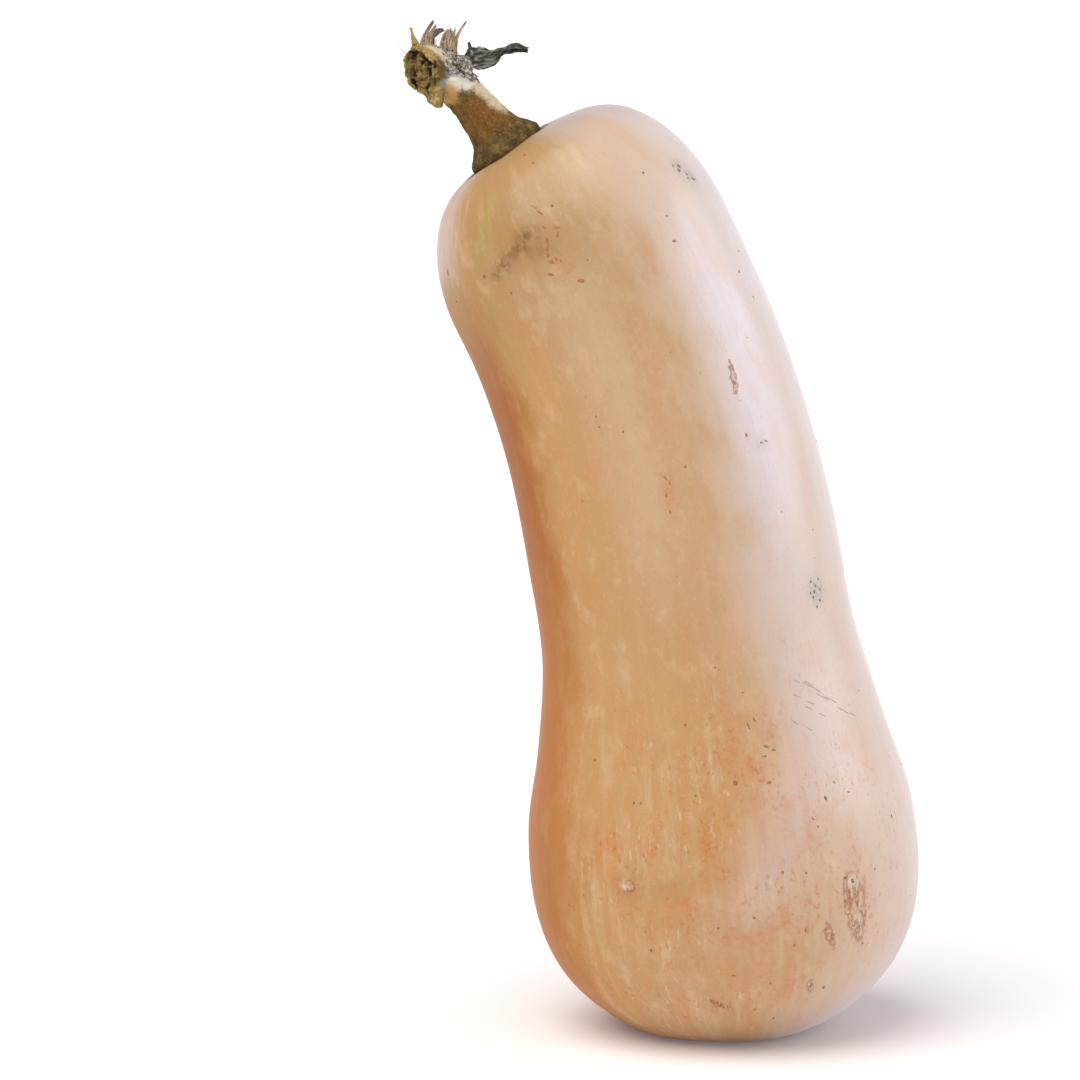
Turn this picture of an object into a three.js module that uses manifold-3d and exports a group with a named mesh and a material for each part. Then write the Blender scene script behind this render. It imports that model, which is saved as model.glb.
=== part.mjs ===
import * as THREE from "three";
import { mergeVertices } from "three/addons/utils/BufferGeometryUtils.js";
import Module from "manifold-3d";

// A butternut squash standing on the flat of its blossom end and leaning towards -X, with its dry stem,
// the knot of vine that the stem was cut from, the bark torn off that knot and a shrivelled leaf.
// Millimetres, +Z up, -Y towards the viewer. The origin is the middle of the flat that it stands on.

// Fruit: a round swept along a centre line that leans more and more towards the stem.
const FRUIT_LENGTH = 285;
const BLOSSOM_END = new THREE.Vector3(5, 0, -5); // the dome's lowest point, cut away by the flat
const FRUIT_LEANS = [3, 5, 8, 13, 24.5, 32]; // degrees, at equal steps from blossom end to stem
const FRUIT_SET_BACK = 14; // how far the stem end stands behind the blossom end
const BULB_RADIUS = 58;
const NECK_RADIUS = 46;
const FRUIT_OUTLINE = [
  // share of the length, radius
  [0, 0],
  [0.013, 20.7],
  [0.04, 37],
  [0.09, 51],
  [0.16, BULB_RADIUS],
  [0.25, BULB_RADIUS],
  [0.34, 52.2],
  [0.44, NECK_RADIUS + 1.2],
  [0.55, NECK_RADIUS + 0.5],
  [0.67, NECK_RADIUS - 0.7],
  [0.79, NECK_RADIUS - 1.8],
  [0.88, NECK_RADIUS - 2.4],
  [0.945, 37.4],
  [0.985, 24.8],
  [1, 0],
];
const RIBS = 10; // shallow ribs run down from the stem and fade out on the neck
const RIB_HEIGHT = 0.5;
const LOBES = 5; // broad, low swellings round the bulb
const LOBE_HEIGHT = 0.4;
const SCAR_RING = { inner: 1.8, outer: 3.6, depth: 0.8 }; // the corky ring where the blossom sat

// Stem: five-angled, flared where it meets the fruit, narrow below the knot.
const STEM_FOOT = new THREE.Vector3(-62.2, 14.2, 262.8);
const STEM_LENGTH = 33;
const STEM_LEANS = [35, 37, 39, 45, 58];
const STEM_ANGLES = 5;
const WAIST_RADIUS = 5.6;
const FLARE_RADIUS = 11.5;
const STEM_OUTLINE = [
  // height, radius
  [0, 0],
  [0, 9.5],
  [1.2, FLARE_RADIUS - 0.4],
  [4, FLARE_RADIUS],
  [6.3, 9.8],
  [9, 7.8],
  [13, 6.8],
  [19, WAIST_RADIUS + 0.3],
  [24, WAIST_RADIUS],
  [28, 6.4],
  [31, 6],
  [STEM_LENGTH, 3.5],
  [STEM_LENGTH, 0],
];
const RIDGE_HEIGHTS = { flare: 1.1, waist: 0.4 };

// Knot: the stub of vine left on the stem, cut across on the side that faces left and forward.
const CUT_FACE = new THREE.Vector3(-90.3, 7, 288.6);
const CUT_NORMAL = new THREE.Vector3(-0.64, -0.74, -0.16).normalize();
const CUT_TILT = 20; // degrees by which the cut's long axis leans to the left
const CUT_WIDTH_SHARE = 0.87; // of the cut's height
const KNOT_OUTLINE = [
  // distance out along the cut's normal, radius; the grooves are the rings and pith of the cut
  [-11, 0],
  [-10.4, 3.2],
  [-8, 5.8],
  [-4.5, 6.8],
  [-1.2, 7.2],
  [-0.2, 6.9],
  [-0.3, 6.2],
  [-1.4, 5.5],
  [-0.5, 4.7],
  [-0.3, 3.9],
  [-1.5, 3],
  [-0.4, 2.2],
  [-0.5, 1.4],
  [-1.9, 0.8],
  [-2.1, 0],
];
// The cut's lower edge is torn out to a point: its reach, its lean, and its spread in degrees at the
// cut face and at the back of the knot.
const SPUR = { reach: 5, lean: 10, spread: [17, 50] };
const VINE_STUB_END = new THREE.Vector3(-74.6, 15, 289.4); // the vine's other, crumbled end
const VINE_STUB_RADII = [6.2, 2.6];
const THORN = { root: [-90.2, 10.2, 292.6], tip: [-92.7, 9.2, 301.5], radius: 1.5 };

// Gap between pieces that grew together, so that each stays a solid of its own.
const SEAT_GAP = 0.3;

// Bark torn off the knot: a band along the root of the tear and the strips that stand up from it.
// Each has a path, its widths along that path and its twists in degrees.
const BARK_THICKNESS = 0.8;
const BARK_STRIPS = [
  {
    path: [[-89.8, 11.8, 294.6], [-86.8, 12.4, 295], [-83.6, 13.2, 294], [-79.4, 14.4, 292.6]],
    widths: [1.6, 2.4, 2.6, 2],
    twists: [0, 0, 0, 0],
  },
  {
    path: [[-88.3, 12.5, 294.6], [-88.3, 12.5, 297.2], [-87.3, 12.2, 299.8], [-85.4, 11.4, 303.6]],
    widths: [3, 2.8, 2, 0.8],
    twists: [0, 0, 15, 40],
  },
  {
    path: [[-86, 13.1, 295], [-86, 13.6, 298], [-84.6, 14.4, 299.8], [-82.7, 15.2, 300.4]],
    widths: [1.4, 1, 2, 1.2],
    twists: [0, -10, -30, -60],
  },
  {
    path: [[-82, 13.6, 293.4], [-82, 13.6, 296.4], [-81.4, 13.2, 298.8], [-80.3, 12.4, 301]],
    widths: [4.4, 3.9, 3.2, 1.8],
    twists: [0, 0, 10, 25],
  },
  {
    path: [[-79.9, 14.3, 293], [-79.3, 14.5, 296.4], [-78.6, 15.2, 299], [-76.1, 16.4, 303]],
    widths: [2, 1.4, 1.2, 0.8],
    twists: [0, 0, -20, -50],
  },
];

// Leaf: one shrivelled blade, wide near its root, pinched in the middle and rolled up at the tip.
const LEAF_THICKNESS = 0.9;
const LEAF = {
  path: [
    [-77, 15, 290],
    [-74.3, 15, 291.7],
    [-71.6, 14.8, 292.2],
    [-69, 14.2, 292.8],
    [-66.6, 13.6, 294.2],
    [-64.6, 14.2, 295.1],
    [-61.6, 15, 295.7],
    [-57.3, 15.2, 294.9],
  ],
  widths: [2, 6, 6, 5, 2.6, 2, 2.8, 1.5],
  twists: [0, 0, 8, 20, 40, 60, 30, 50],
};
const LEAF_CURL = 0.2; // how far the blade's edges bow towards the viewer, as a share of its width

const ROUND_SIDES = 64;
const STEM_SIDES = 40;
const POINTS_PER_SPAN = 3; // along an outline, between two of its points
const STRIP_STEPS = 12;

const wasm = await Module();
wasm.setup();

// The closed solid of a geometry, with its shared vertices merged and its empty triangles dropped.
function solidOf(geometry) {
  geometry.deleteAttribute("normal");
  geometry.deleteAttribute("uv");
  const merged = mergeVertices(geometry, 1e-3);
  const corners = merged.index.array;
  const kept = [];
  for (let i = 0; i < corners.length; i += 3) {
    const [a, b, c] = corners.slice(i, i + 3);
    if (a !== b && b !== c && c !== a) kept.push(a, b, c);
  }
  const vertProperties = merged.attributes.position.array;
  return new wasm.Manifold(new wasm.Mesh({ numProp: 3, vertProperties, triVerts: new Uint32Array(kept) }));
}

// The geometry of a solid, with normals for shading.
function geometryOf(solid) {
  const { vertProperties, triVerts } = solid.getMesh();
  const geometry = new THREE.BufferGeometry();
  geometry.setAttribute("position", new THREE.BufferAttribute(vertProperties, 3));
  geometry.setIndex(new THREE.BufferAttribute(triVerts, 1));
  geometry.computeVertexNormals();
  return geometry;
}

// Moves every vertex of a geometry to where place(vertex) says.
function deform(geometry, place) {
  const position = geometry.attributes.position;
  const vertex = new THREE.Vector3();
  for (let i = 0; i < position.count; i++) {
    place(vertex.fromBufferAttribute(position, i));
    position.setXYZ(i, vertex.x, vertex.y, vertex.z);
  }
  return geometry;
}

// A centre line that starts at a point and leans towards -X by the given degrees, at equal steps
// along it. setBack(share) is how far it stands behind its start. Returns a look-up by height.
function centreLine(start, length, leans, setBack) {
  const steps = 400;
  const leanCurve = new THREE.SplineCurve(
    leans.map((degrees, i) => new THREE.Vector2(i, THREE.MathUtils.degToRad(degrees))),
  );
  const places = [{ x: start.x, z: start.z, lean: leanCurve.getPoint(0).y }];
  for (let i = 0; i < steps; i++) {
    const last = places[i];
    const middle = leanCurve.getPoint((i + 0.5) / steps).y;
    const step = length / steps;
    places.push({
      x: last.x - Math.sin(middle) * step,
      z: last.z + Math.cos(middle) * step,
      lean: leanCurve.getPoint((i + 1) / steps).y,
    });
  }
  return (height) => {
    const along = THREE.MathUtils.clamp((height / length) * steps, 0, steps);
    const i = Math.min(Math.floor(along), steps - 1);
    const mix = (key) => THREE.MathUtils.lerp(places[i][key], places[i + 1][key], along - i);
    return { x: mix("x"), y: start.y + setBack(along / steps), z: mix("z"), lean: mix("lean") };
  };
}

// Turns an outline of [height, radius] pairs round its axis and bends it along a centre line.
// relief(height, angle, radius) is added to the radius; the angle is 0 at +X and 90 degrees at -Y.
function roundAlong(outline, line, sides, relief) {
  const points = outline.map(([height, radius]) => new THREE.Vector2(radius, height));
  const profile = new THREE.SplineCurve(points).getPoints((points.length - 1) * POINTS_PER_SPAN);
  for (const point of profile) point.x = Math.max(point.x, 0);
  const turned = new THREE.LatheGeometry(profile, sides);
  return deform(turned, (vertex) => {
    const height = vertex.y;
    const radius = Math.hypot(vertex.x, vertex.z);
    const angle = Math.atan2(vertex.z, vertex.x);
    const raised = radius + relief(height, angle, radius);
    const { x, y, z, lean } = line(height);
    const across = raised * Math.cos(angle);
    vertex.set(x + across * Math.cos(lean), y - raised * Math.sin(angle), z + across * Math.sin(lean));
  });
}

// A thin strip along a path of points: its widths and its twists, in degrees, are spread evenly
// along the path, and curl bows its edges towards the viewer by that share of the width.
function strip({ path, widths, twists }, thickness, curl, grow) {
  const curve = new THREE.CatmullRomCurve3(path.map((point) => new THREE.Vector3(...point)));
  const spread = (values) => new THREE.SplineCurve(values.map((value, i) => new THREE.Vector2(i, value)));
  const widthCurve = spread(widths);
  const twistCurve = spread(twists);
  const flat = new THREE.BoxGeometry(1, 1, 1, 4, 1, STRIP_STEPS);
  return deform(flat, (vertex) => {
    const share = vertex.z + 0.5;
    const past = share === 0 || share === 1 ? Math.sign(vertex.z) * grow : 0;
    const along = curve.getTangent(share);
    const middle = curve.getPoint(share).addScaledVector(along, past);
    const width = widthCurve.getPoint(share).y + 2 * grow;
    const twist = THREE.MathUtils.degToRad(twistCurve.getPoint(share).y);
    const forward = new THREE.Vector3(0, -1, 0);
    const side = new THREE.Vector3().crossVectors(forward, along).normalize().applyAxisAngle(along, twist);
    const face = new THREE.Vector3().crossVectors(along, side).normalize();
    const across = vertex.x * width;
    const lift = vertex.y * (thickness + 2 * grow) + curl * width * 4 * vertex.x * vertex.x;
    vertex.copy(middle).addScaledVector(side, across).addScaledVector(face, lift);
  });
}

function fruitRelief(height, angle, radius) {
  const share = height / FRUIT_LENGTH;
  const nearPole = Math.min(1, radius / 20);
  const ribFade = THREE.MathUtils.smoothstep(share, 0.5, 0.92) * nearPole;
  const lobeFade = (1 - THREE.MathUtils.smoothstep(share, 0.2, 0.45)) * nearPole;
  const ribs = RIB_HEIGHT * ribFade * Math.cos(RIBS * angle + 0.4);
  const lobes = LOBE_HEIGHT * lobeFade * Math.cos(LOBES * angle + 0.6);
  return ribs + lobes;
}

function stemRelief(height, angle, radius) {
  const flare = 1 - THREE.MathUtils.smoothstep(height, 3, 14);
  const knotFade = 1 - THREE.MathUtils.smoothstep(height, 24, 29);
  const { flare: atFlare, waist: atWaist } = RIDGE_HEIGHTS;
  const depth = THREE.MathUtils.lerp(atWaist, atFlare, flare) * knotFade * Math.min(1, radius / 5);
  return depth * Math.cos(STEM_ANGLES * (angle - 0.45));
}

// The stem's own round, without its knot. grow makes the seat that it is let into the fruit with.
function stemRound(grow) {
  const line = centreLine(STEM_FOOT, STEM_LENGTH, STEM_LEANS, (share) => 1.6 * share - 3.4 * share * share);
  const outline = STEM_OUTLINE.map(([height, radius]) => [height, radius > 0 ? radius + grow : 0]);
  outline.splice(0, 2, [-grow, 0], [-grow, outline[1][1]]);
  return solidOf(roundAlong(outline, line, STEM_SIDES, stemRelief));
}

// The knot, turned round the normal of its cut face, its lower edge drawn out into the spur.
function knot() {
  const points = KNOT_OUTLINE.map(([out, radius]) => new THREE.Vector2(radius, out));
  const profile = new THREE.SplineCurve(points).getPoints((points.length - 1) * 2);
  for (const point of profile) point.x = Math.max(point.x, 0);
  const turned = new THREE.LatheGeometry(profile, STEM_SIDES);
  const rimRadius = 7;
  const spurAngle = THREE.MathUtils.degToRad(CUT_TILT - SPUR.lean);
  deform(turned, (vertex) => {
    const nearFace = THREE.MathUtils.smoothstep(vertex.y, -8, -1);
    const spread = THREE.MathUtils.degToRad(THREE.MathUtils.lerp(SPUR.spread[1], SPUR.spread[0], nearFace));
    const fromSpur = Math.atan2(vertex.x, -vertex.z) - spurAngle;
    const pull = Math.exp(-((fromSpur / spread) ** 2)) * (Math.hypot(vertex.x, vertex.z) / rimRadius) ** 2;
    const reach = SPUR.reach * THREE.MathUtils.lerp(0.4, 1, nearFace);
    const stretch = 1 + (reach / rimRadius) * pull;
    vertex.x *= CUT_WIDTH_SHARE * stretch;
    vertex.z *= stretch;
  });
  turned.rotateY(THREE.MathUtils.degToRad(CUT_TILT));
  const up = new THREE.Vector3(0, 0, 1);
  const side = new THREE.Vector3().crossVectors(CUT_NORMAL, up).normalize();
  const upright = new THREE.Vector3().crossVectors(side, CUT_NORMAL);
  const turn = new THREE.Matrix4().makeBasis(side, CUT_NORMAL, upright).setPosition(CUT_FACE);
  return solidOf(turned.applyMatrix4(turn));
}

// A round that tapers from one point to another and has a rounded end.
function taper(from, to, startRadius, endRadius) {
  const along = new THREE.Vector3().subVectors(to, from);
  const length = along.length();
  const profile = [
    new THREE.Vector2(0, 0),
    new THREE.Vector2(startRadius, 0),
    new THREE.Vector2((startRadius + endRadius) / 2, length * 0.45),
    new THREE.Vector2(endRadius, length * 0.9),
    new THREE.Vector2(endRadius * 0.7, length * 0.98),
    new THREE.Vector2(0, length),
  ];
  const turned = new THREE.LatheGeometry(profile, 16);
  const upright = new THREE.Vector3(0, 1, 0);
  turned.applyQuaternion(new THREE.Quaternion().setFromUnitVectors(upright, along.normalize()));
  return solidOf(turned.translate(from.x, from.y, from.z));
}

function barkSolid(grow) {
  const strips = BARK_STRIPS.map((each) => solidOf(strip(each, BARK_THICKNESS, 0.1, grow)));
  return strips.reduce((all, each) => all.add(each));
}

function leafSolid(grow) {
  return solidOf(strip(LEAF, LEAF_THICKNESS, LEAF_CURL, grow));
}

function fruitSolid() {
  const line = centreLine(BLOSSOM_END, FRUIT_LENGTH, FRUIT_LEANS, (share) => FRUIT_SET_BACK * share ** 3);
  const outline = FRUIT_OUTLINE.map(([share, radius]) => [share * FRUIT_LENGTH, radius]);
  const whole = solidOf(roundAlong(outline, line, ROUND_SIDES, fruitRelief));
  const below = solidOf(new THREE.BoxGeometry(200, 200, 20).translate(0, 0, -10));
  const { inner, outer, depth } = SCAR_RING;
  const slope = 0.5;
  const ring = new THREE.LatheGeometry(
    [
      new THREE.Vector2(inner, -1),
      new THREE.Vector2(outer, -1),
      new THREE.Vector2(outer - slope, depth),
      new THREE.Vector2(inner + slope, depth),
      new THREE.Vector2(inner, -1),
    ],
    24,
  );
  const scar = solidOf(ring.rotateX(Math.PI / 2).translate(BLOSSOM_END.x, BLOSSOM_END.y, 0));
  return whole.subtract(below).subtract(scar).subtract(stemRound(SEAT_GAP));
}

function stemSolid() {
  const knotMiddle = CUT_FACE.clone().addScaledVector(CUT_NORMAL, -6);
  const vineStub = taper(knotMiddle, VINE_STUB_END, ...VINE_STUB_RADII);
  const thorn = taper(new THREE.Vector3(...THORN.root), new THREE.Vector3(...THORN.tip), THORN.radius, 0.45);
  return stemRound(0)
    .add(knot())
    .add(vineStub)
    .add(thorn)
    .subtract(barkSolid(SEAT_GAP))
    .subtract(leafSolid(SEAT_GAP));
}

const skin = new THREE.MeshStandardMaterial({ color: "#d3a87c", roughness: 0.42, metalness: 0 });
const dryStem = new THREE.MeshStandardMaterial({ color: "#876840", roughness: 0.85, metalness: 0 });
const tornBark = new THREE.MeshStandardMaterial({ color: "#b8a48c", roughness: 0.9, metalness: 0 });
const deadLeaf = new THREE.MeshStandardMaterial({ color: "#55564f", roughness: 0.9, metalness: 0 });

const squash = new THREE.Group();

function addPiece(name, solid, material) {
  const mesh = new THREE.Mesh(geometryOf(solid), material);
  mesh.name = name;
  squash.add(mesh);
}

addPiece("fruit", fruitSolid(), skin);
addPiece("stem", stemSolid(), dryStem);
addPiece("torn_bark", barkSolid(0), tornBark);
addPiece("dried_leaf", leafSolid(0), deadLeaf);

export default squash;
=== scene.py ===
import math

import bpy
import numpy as np
from mathutils import Matrix, Vector, noise
from mathutils.bvhtree import BVHTree


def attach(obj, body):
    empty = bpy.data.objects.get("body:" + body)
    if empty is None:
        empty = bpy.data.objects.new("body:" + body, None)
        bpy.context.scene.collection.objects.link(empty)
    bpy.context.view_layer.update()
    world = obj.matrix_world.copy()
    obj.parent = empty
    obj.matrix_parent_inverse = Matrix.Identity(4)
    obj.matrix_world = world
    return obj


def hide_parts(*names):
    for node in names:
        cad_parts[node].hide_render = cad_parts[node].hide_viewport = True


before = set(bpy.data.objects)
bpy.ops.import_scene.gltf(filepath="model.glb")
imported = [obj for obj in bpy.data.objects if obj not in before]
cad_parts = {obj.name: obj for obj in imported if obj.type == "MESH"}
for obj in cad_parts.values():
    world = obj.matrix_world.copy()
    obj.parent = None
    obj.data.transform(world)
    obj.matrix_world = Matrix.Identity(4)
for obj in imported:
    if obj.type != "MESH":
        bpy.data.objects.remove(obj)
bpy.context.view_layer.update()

# A butternut squash that stands on the flat of its blossom end and leans to the left, with its dry
# stem, a cut knot of vine, bark torn off the knot and one shrivelled leaf.
# The frame is the part's own: metres, +Z up, -Y towards the camera, origin on the floor.

MM = 0.001

# ---- the camera, and the measures that the solids have too, in mm and degrees ----

CAMERA_TILT = 8
CAMERA_DISTANCE = 1500
CAMERA_AIM = Vector((-54.14, 0, 148.6))
VIEW_WIDTH = 1080 * 0.3  # pixels, by the mm that each one spans
SENSOR_WIDTH = 36

FRUIT_LENGTH = 285
BLOSSOM_END = (5, 0, -5)
FRUIT_LEANS = (3, 5, 8, 13, 24.5, 32)
FRUIT_SET_BACK = 14
FRUIT_OUTLINE = (
    (0, 0), (0.013, 20.7), (0.04, 37), (0.09, 51), (0.16, 58), (0.25, 58), (0.34, 52.2), (0.44, 47.2),
    (0.55, 46.5), (0.67, 45.3), (0.79, 44.2), (0.88, 43.6), (0.945, 37.4), (0.985, 24.8), (1, 0),
)

STEM_FOOT = (-62.2, 14.2, 262.8)
STEM_LENGTH = 33
STEM_LEANS = (35, 37, 39, 45, 58)
STEM_OUTLINE = (
    (0, 0), (0, 9.5), (1.2, 11.1), (4, 11.5), (6.3, 9.8), (9, 7.8), (13, 6.8), (19, 5.9), (24, 5.6),
    (28, 6.4), (31, 6), (33, 3.5), (33, 0),
)

CUT_FACE = (-90.3, 7, 288.6)
CUT_NORMAL = Vector((-0.64, -0.74, -0.16)).normalized()
CUT_TILT = 20
CUT_WIDTH_SHARE = 0.87
KNOT_OUTLINE = (
    (-11, 0), (-10.4, 3.2), (-8, 5.8), (-4.5, 6.8), (-1.2, 7.2), (-0.2, 6.9), (-0.3, 6.2), (-1.4, 5.5),
    (-0.5, 4.7), (-0.3, 3.9), (-1.5, 3), (-0.4, 2.2), (-0.5, 1.4), (-1.9, 0.8), (-2.1, 0),
)
VINE_STUB_END = (-74.6, 15, 289.4)
KNOT_RIM = 7
SPUR_ANGLE = -10
SPUR_REACH = 5
SPUR_SPREADS = (50, 17)
THORN = ((-90.2, 10.2, 292.6), (-92.7, 9.2, 301.5), (1.9, 0.55))

LEAF_PATH = (
    (-77, 15, 290), (-74.3, 15, 291.7), (-71.6, 14.8, 292.2), (-69, 14.2, 292.8), (-66.6, 13.6, 294.2),
    (-64.6, 14.2, 295.1), (-61.6, 15, 295.7), (-57.3, 15.2, 294.9),
)

# The radius of the round that the rind's patterns lie on, in metres, and what a degree round it spans.
RIND_RADIUS = 50 * MM
MM_PER_DEGREE = 0.8

# ---- small helpers ----


def colour(code):
    """An sRGB hex colour as linear light."""
    parts = [int(code[i : i + 2], 16) / 255 for i in (1, 3, 5)]
    return tuple(c / 12.92 if c <= 0.04045 else ((c + 0.055) / 1.055) ** 2.4 for c in parts) + (1.0,)


def add_node(tree, kind, inputs=None, **settings):
    """Adds a node. inputs gives a value, or another node's output, for a socket's name or number."""
    node = tree.nodes.new(kind)
    for name, value in settings.items():
        setattr(node, name, value)
    for key, value in (inputs or {}).items():
        if isinstance(value, bpy.types.NodeSocket):
            tree.links.new(value, node.inputs[key])
        else:
            node.inputs[key].default_value = value
    return node


def spline(points, share):
    """A smooth curve through evenly numbered points, at shares from 0 to 1."""
    points = np.array(points, float).reshape(len(points), -1)
    last = len(points) - 1
    along = np.clip(np.asarray(share, float), 0, 1) * last
    i = np.minimum(along.astype(int), last - 1)
    w = (along - i)[:, None]
    before, here = points[np.maximum(i - 1, 0)], points[i]
    there, beyond = points[np.minimum(i + 1, last)], points[np.minimum(i + 2, last)]
    leave, arrive = (there - before) / 2, (beyond - here) / 2
    cubic = 2 * here - 2 * there + leave + arrive
    square = -3 * here + 3 * there - 2 * leave - arrive
    return cubic * w**3 + square * w**2 + leave * w + here


def smooth(value, low, high):
    """0 below low, 1 above high, and an easy rise between them."""
    t = np.clip((np.asarray(value, float) - low) / (high - low), 0, 1)
    return t * t * (3 - 2 * t)


def centre_line(start, length, leans, heights):
    """Where a round's centre is and how far it leans, at each height along it, in mm and radians."""
    steps = 400
    leans = np.radians(leans)
    middles = spline(leans, (np.arange(steps) + 0.5) / steps)[:, 0]
    step = length / steps
    x = start[0] - np.concatenate([[0], np.cumsum(np.sin(middles) * step)])
    z = start[2] + np.concatenate([[0], np.cumsum(np.cos(middles) * step)])
    lean = spline(leans, np.arange(steps + 1) / steps)[:, 0]
    marks = np.arange(steps + 1) * step
    return np.interp(heights, marks, x), np.interp(heights, marks, z), np.interp(heights, marks, lean)


def new_piece(name, points, faces, material, edges=()):
    """A mesh object from points in mm."""
    mesh = bpy.data.meshes.new(name)
    mesh.from_pydata((np.asarray(points) * MM).tolist(), edges, faces)
    mesh.materials.append(material)
    mesh.update()
    piece = bpy.data.objects.new(name, mesh)
    bpy.context.scene.collection.objects.link(piece)
    return piece


def leaning(degrees):
    """The direction that leans to the left of upright by some degrees."""
    return np.array([-math.sin(math.radians(degrees)), 0, math.cos(math.radians(degrees))])


def points_of(piece):
    """A piece's vertices in mm."""
    flat = np.empty(len(piece.data.vertices) * 3)
    piece.data.vertices.foreach_get("co", flat)
    return flat.reshape(-1, 3) / MM


def normals_of(piece):
    flat = np.empty(len(piece.data.vertices) * 3)
    piece.data.vertex_normals.foreach_get("vector", flat)
    return flat.reshape(-1, 3)


def move_points(piece, points):
    piece.data.vertices.foreach_set("co", (points * MM).ravel())
    piece.data.update()


def note(piece, name, values):
    """Keeps a number, or three, for each vertex, for the material to read."""
    values = np.asarray(values, np.float32)
    kind, slot = ("FLOAT_VECTOR", "vector") if values.ndim == 2 else ("FLOAT", "value")
    attribute = piece.data.attributes.new(name, kind, "POINT")
    attribute.data.foreach_set(slot, values.ravel())


def plain_mesh(piece, material=None):
    """Replaces a piece's live modifiers by the mesh that they make."""
    graph = bpy.context.evaluated_depsgraph_get()
    mesh = bpy.data.meshes.new_from_object(
        piece.evaluated_get(graph), preserve_all_data_layers=True, depsgraph=graph
    )
    piece.modifiers.clear()
    piece.data = mesh
    if material:
        mesh.materials.clear()
        mesh.materials.append(material)
    return piece


def run_tree(piece, tree, sizes):
    """Runs a Geometry Nodes tree with its named sizes on a piece, and keeps the plain result."""
    modifier = piece.modifiers.new("tree", "NODES")
    modifier.node_group = tree
    for item in tree.interface.items_tree:
        if item.in_out == "INPUT" and item.name in sizes:
            modifier[item.identifier] = sizes[item.name]
    return plain_mesh(piece)


def new_tree(name, **sizes):
    """An empty Geometry Nodes tree with named inputs, and the node that gives them."""
    tree = bpy.data.node_groups.new(name, "GeometryNodeTree")
    tree.interface.new_socket("Geometry", in_out="INPUT", socket_type="NodeSocketGeometry")
    tree.interface.new_socket("Geometry", in_out="OUTPUT", socket_type="NodeSocketGeometry")
    for label, kind in sizes.items():
        tree.interface.new_socket(label.replace("_", " "), in_out="INPUT", socket_type=f"NodeSocket{kind}")
    return tree, add_node(tree, "NodeGroupInput").outputs


def named(tree, name, kind="FLOAT"):
    """What was noted under a name for each point that a tree is given."""
    return add_node(tree, "GeometryNodeInputNamedAttribute", {"Name": name}, data_type=kind).outputs[0]


def end_tree(tree, geometry, material):
    """Ends a tree in Realize Instances, smooth shading and Set Material."""
    real = add_node(tree, "GeometryNodeRealizeInstances", {"Geometry": geometry})
    shaded = add_node(tree, "GeometryNodeSetShadeSmooth", {"Geometry": real.outputs[0]})
    finish = add_node(tree, "GeometryNodeSetMaterial", {"Geometry": shaded.outputs[0], "Material": material})
    add_node(tree, "NodeGroupOutput", {"Geometry": finish.outputs[0]})


def sum_of(tree, operation, *values):
    """The result of one sum."""
    return add_node(tree, "ShaderNodeMath", dict(enumerate(values)), operation=operation).outputs[0]


def times(tree, *values):
    """The product of several values. A tuple stands for what between() makes of it."""
    product, *others = [between(tree, *value) if isinstance(value, tuple) else value for value in values]
    for value in others:
        product = sum_of(tree, "MULTIPLY", product, value)
    return product


def between(tree, value, low, high, to_low=0.0, to_high=1.0):
    """Spreads the part of a value between low and high over a new range."""
    inputs = {"Value": value, "From Min": low, "From Max": high, "To Min": to_low, "To Max": to_high}
    return add_node(tree, "ShaderNodeMapRange", inputs, interpolation_type="SMOOTHSTEP").outputs[0]


def close_to(tree, value, middle, far, near):
    """1 where a value is within near of the middle, and 0 from far on."""
    gap = sum_of(tree, "ABSOLUTE", sum_of(tree, "SUBTRACT", value, middle))
    return between(tree, gap, far, near)


def xyz(tree, x, y, z):
    """One point or direction of three numbers."""
    return add_node(tree, "ShaderNodeCombineXYZ", {0: x, 1: y, 2: z}).outputs[0]


def vector_sum(tree, operation, first, second):
    """The result of one sum of two points or directions."""
    return add_node(tree, "ShaderNodeVectorMath", {0: first, 1: second}, operation=operation).outputs[0]


# ---- camera, light and floor ----


def set_camera():
    tilt = math.radians(CAMERA_TILT)
    camera = bpy.data.cameras.new("camera")
    camera.sensor_width = SENSOR_WIDTH
    camera.lens = SENSOR_WIDTH * CAMERA_DISTANCE / VIEW_WIDTH
    camera.clip_end = 100
    rig = bpy.data.objects.new("camera", camera)
    rig.location = (CAMERA_AIM + CAMERA_DISTANCE * Vector((0, -math.cos(tilt), math.sin(tilt)))) * MM
    rig.rotation_euler = (math.pi / 2 - tilt, 0, 0)
    bpy.context.scene.collection.objects.link(rig)
    bpy.context.scene.camera = rig


def hang_lamp(name, towards, strength, spread, tint, shadow=True):
    """A broad, far lamp that shines from a direction given in x, y and z."""
    lamp = bpy.data.lights.new(name, "SUN")
    lamp.energy = strength
    lamp.angle = math.radians(spread)
    lamp.color = colour(tint)[:3]
    lamp.use_shadow = shadow
    rig = bpy.data.objects.new(name, lamp)
    rig.rotation_euler = Vector(towards).to_track_quat("Z", "Y").to_euler()
    bpy.context.scene.collection.objects.link(rig)


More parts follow.
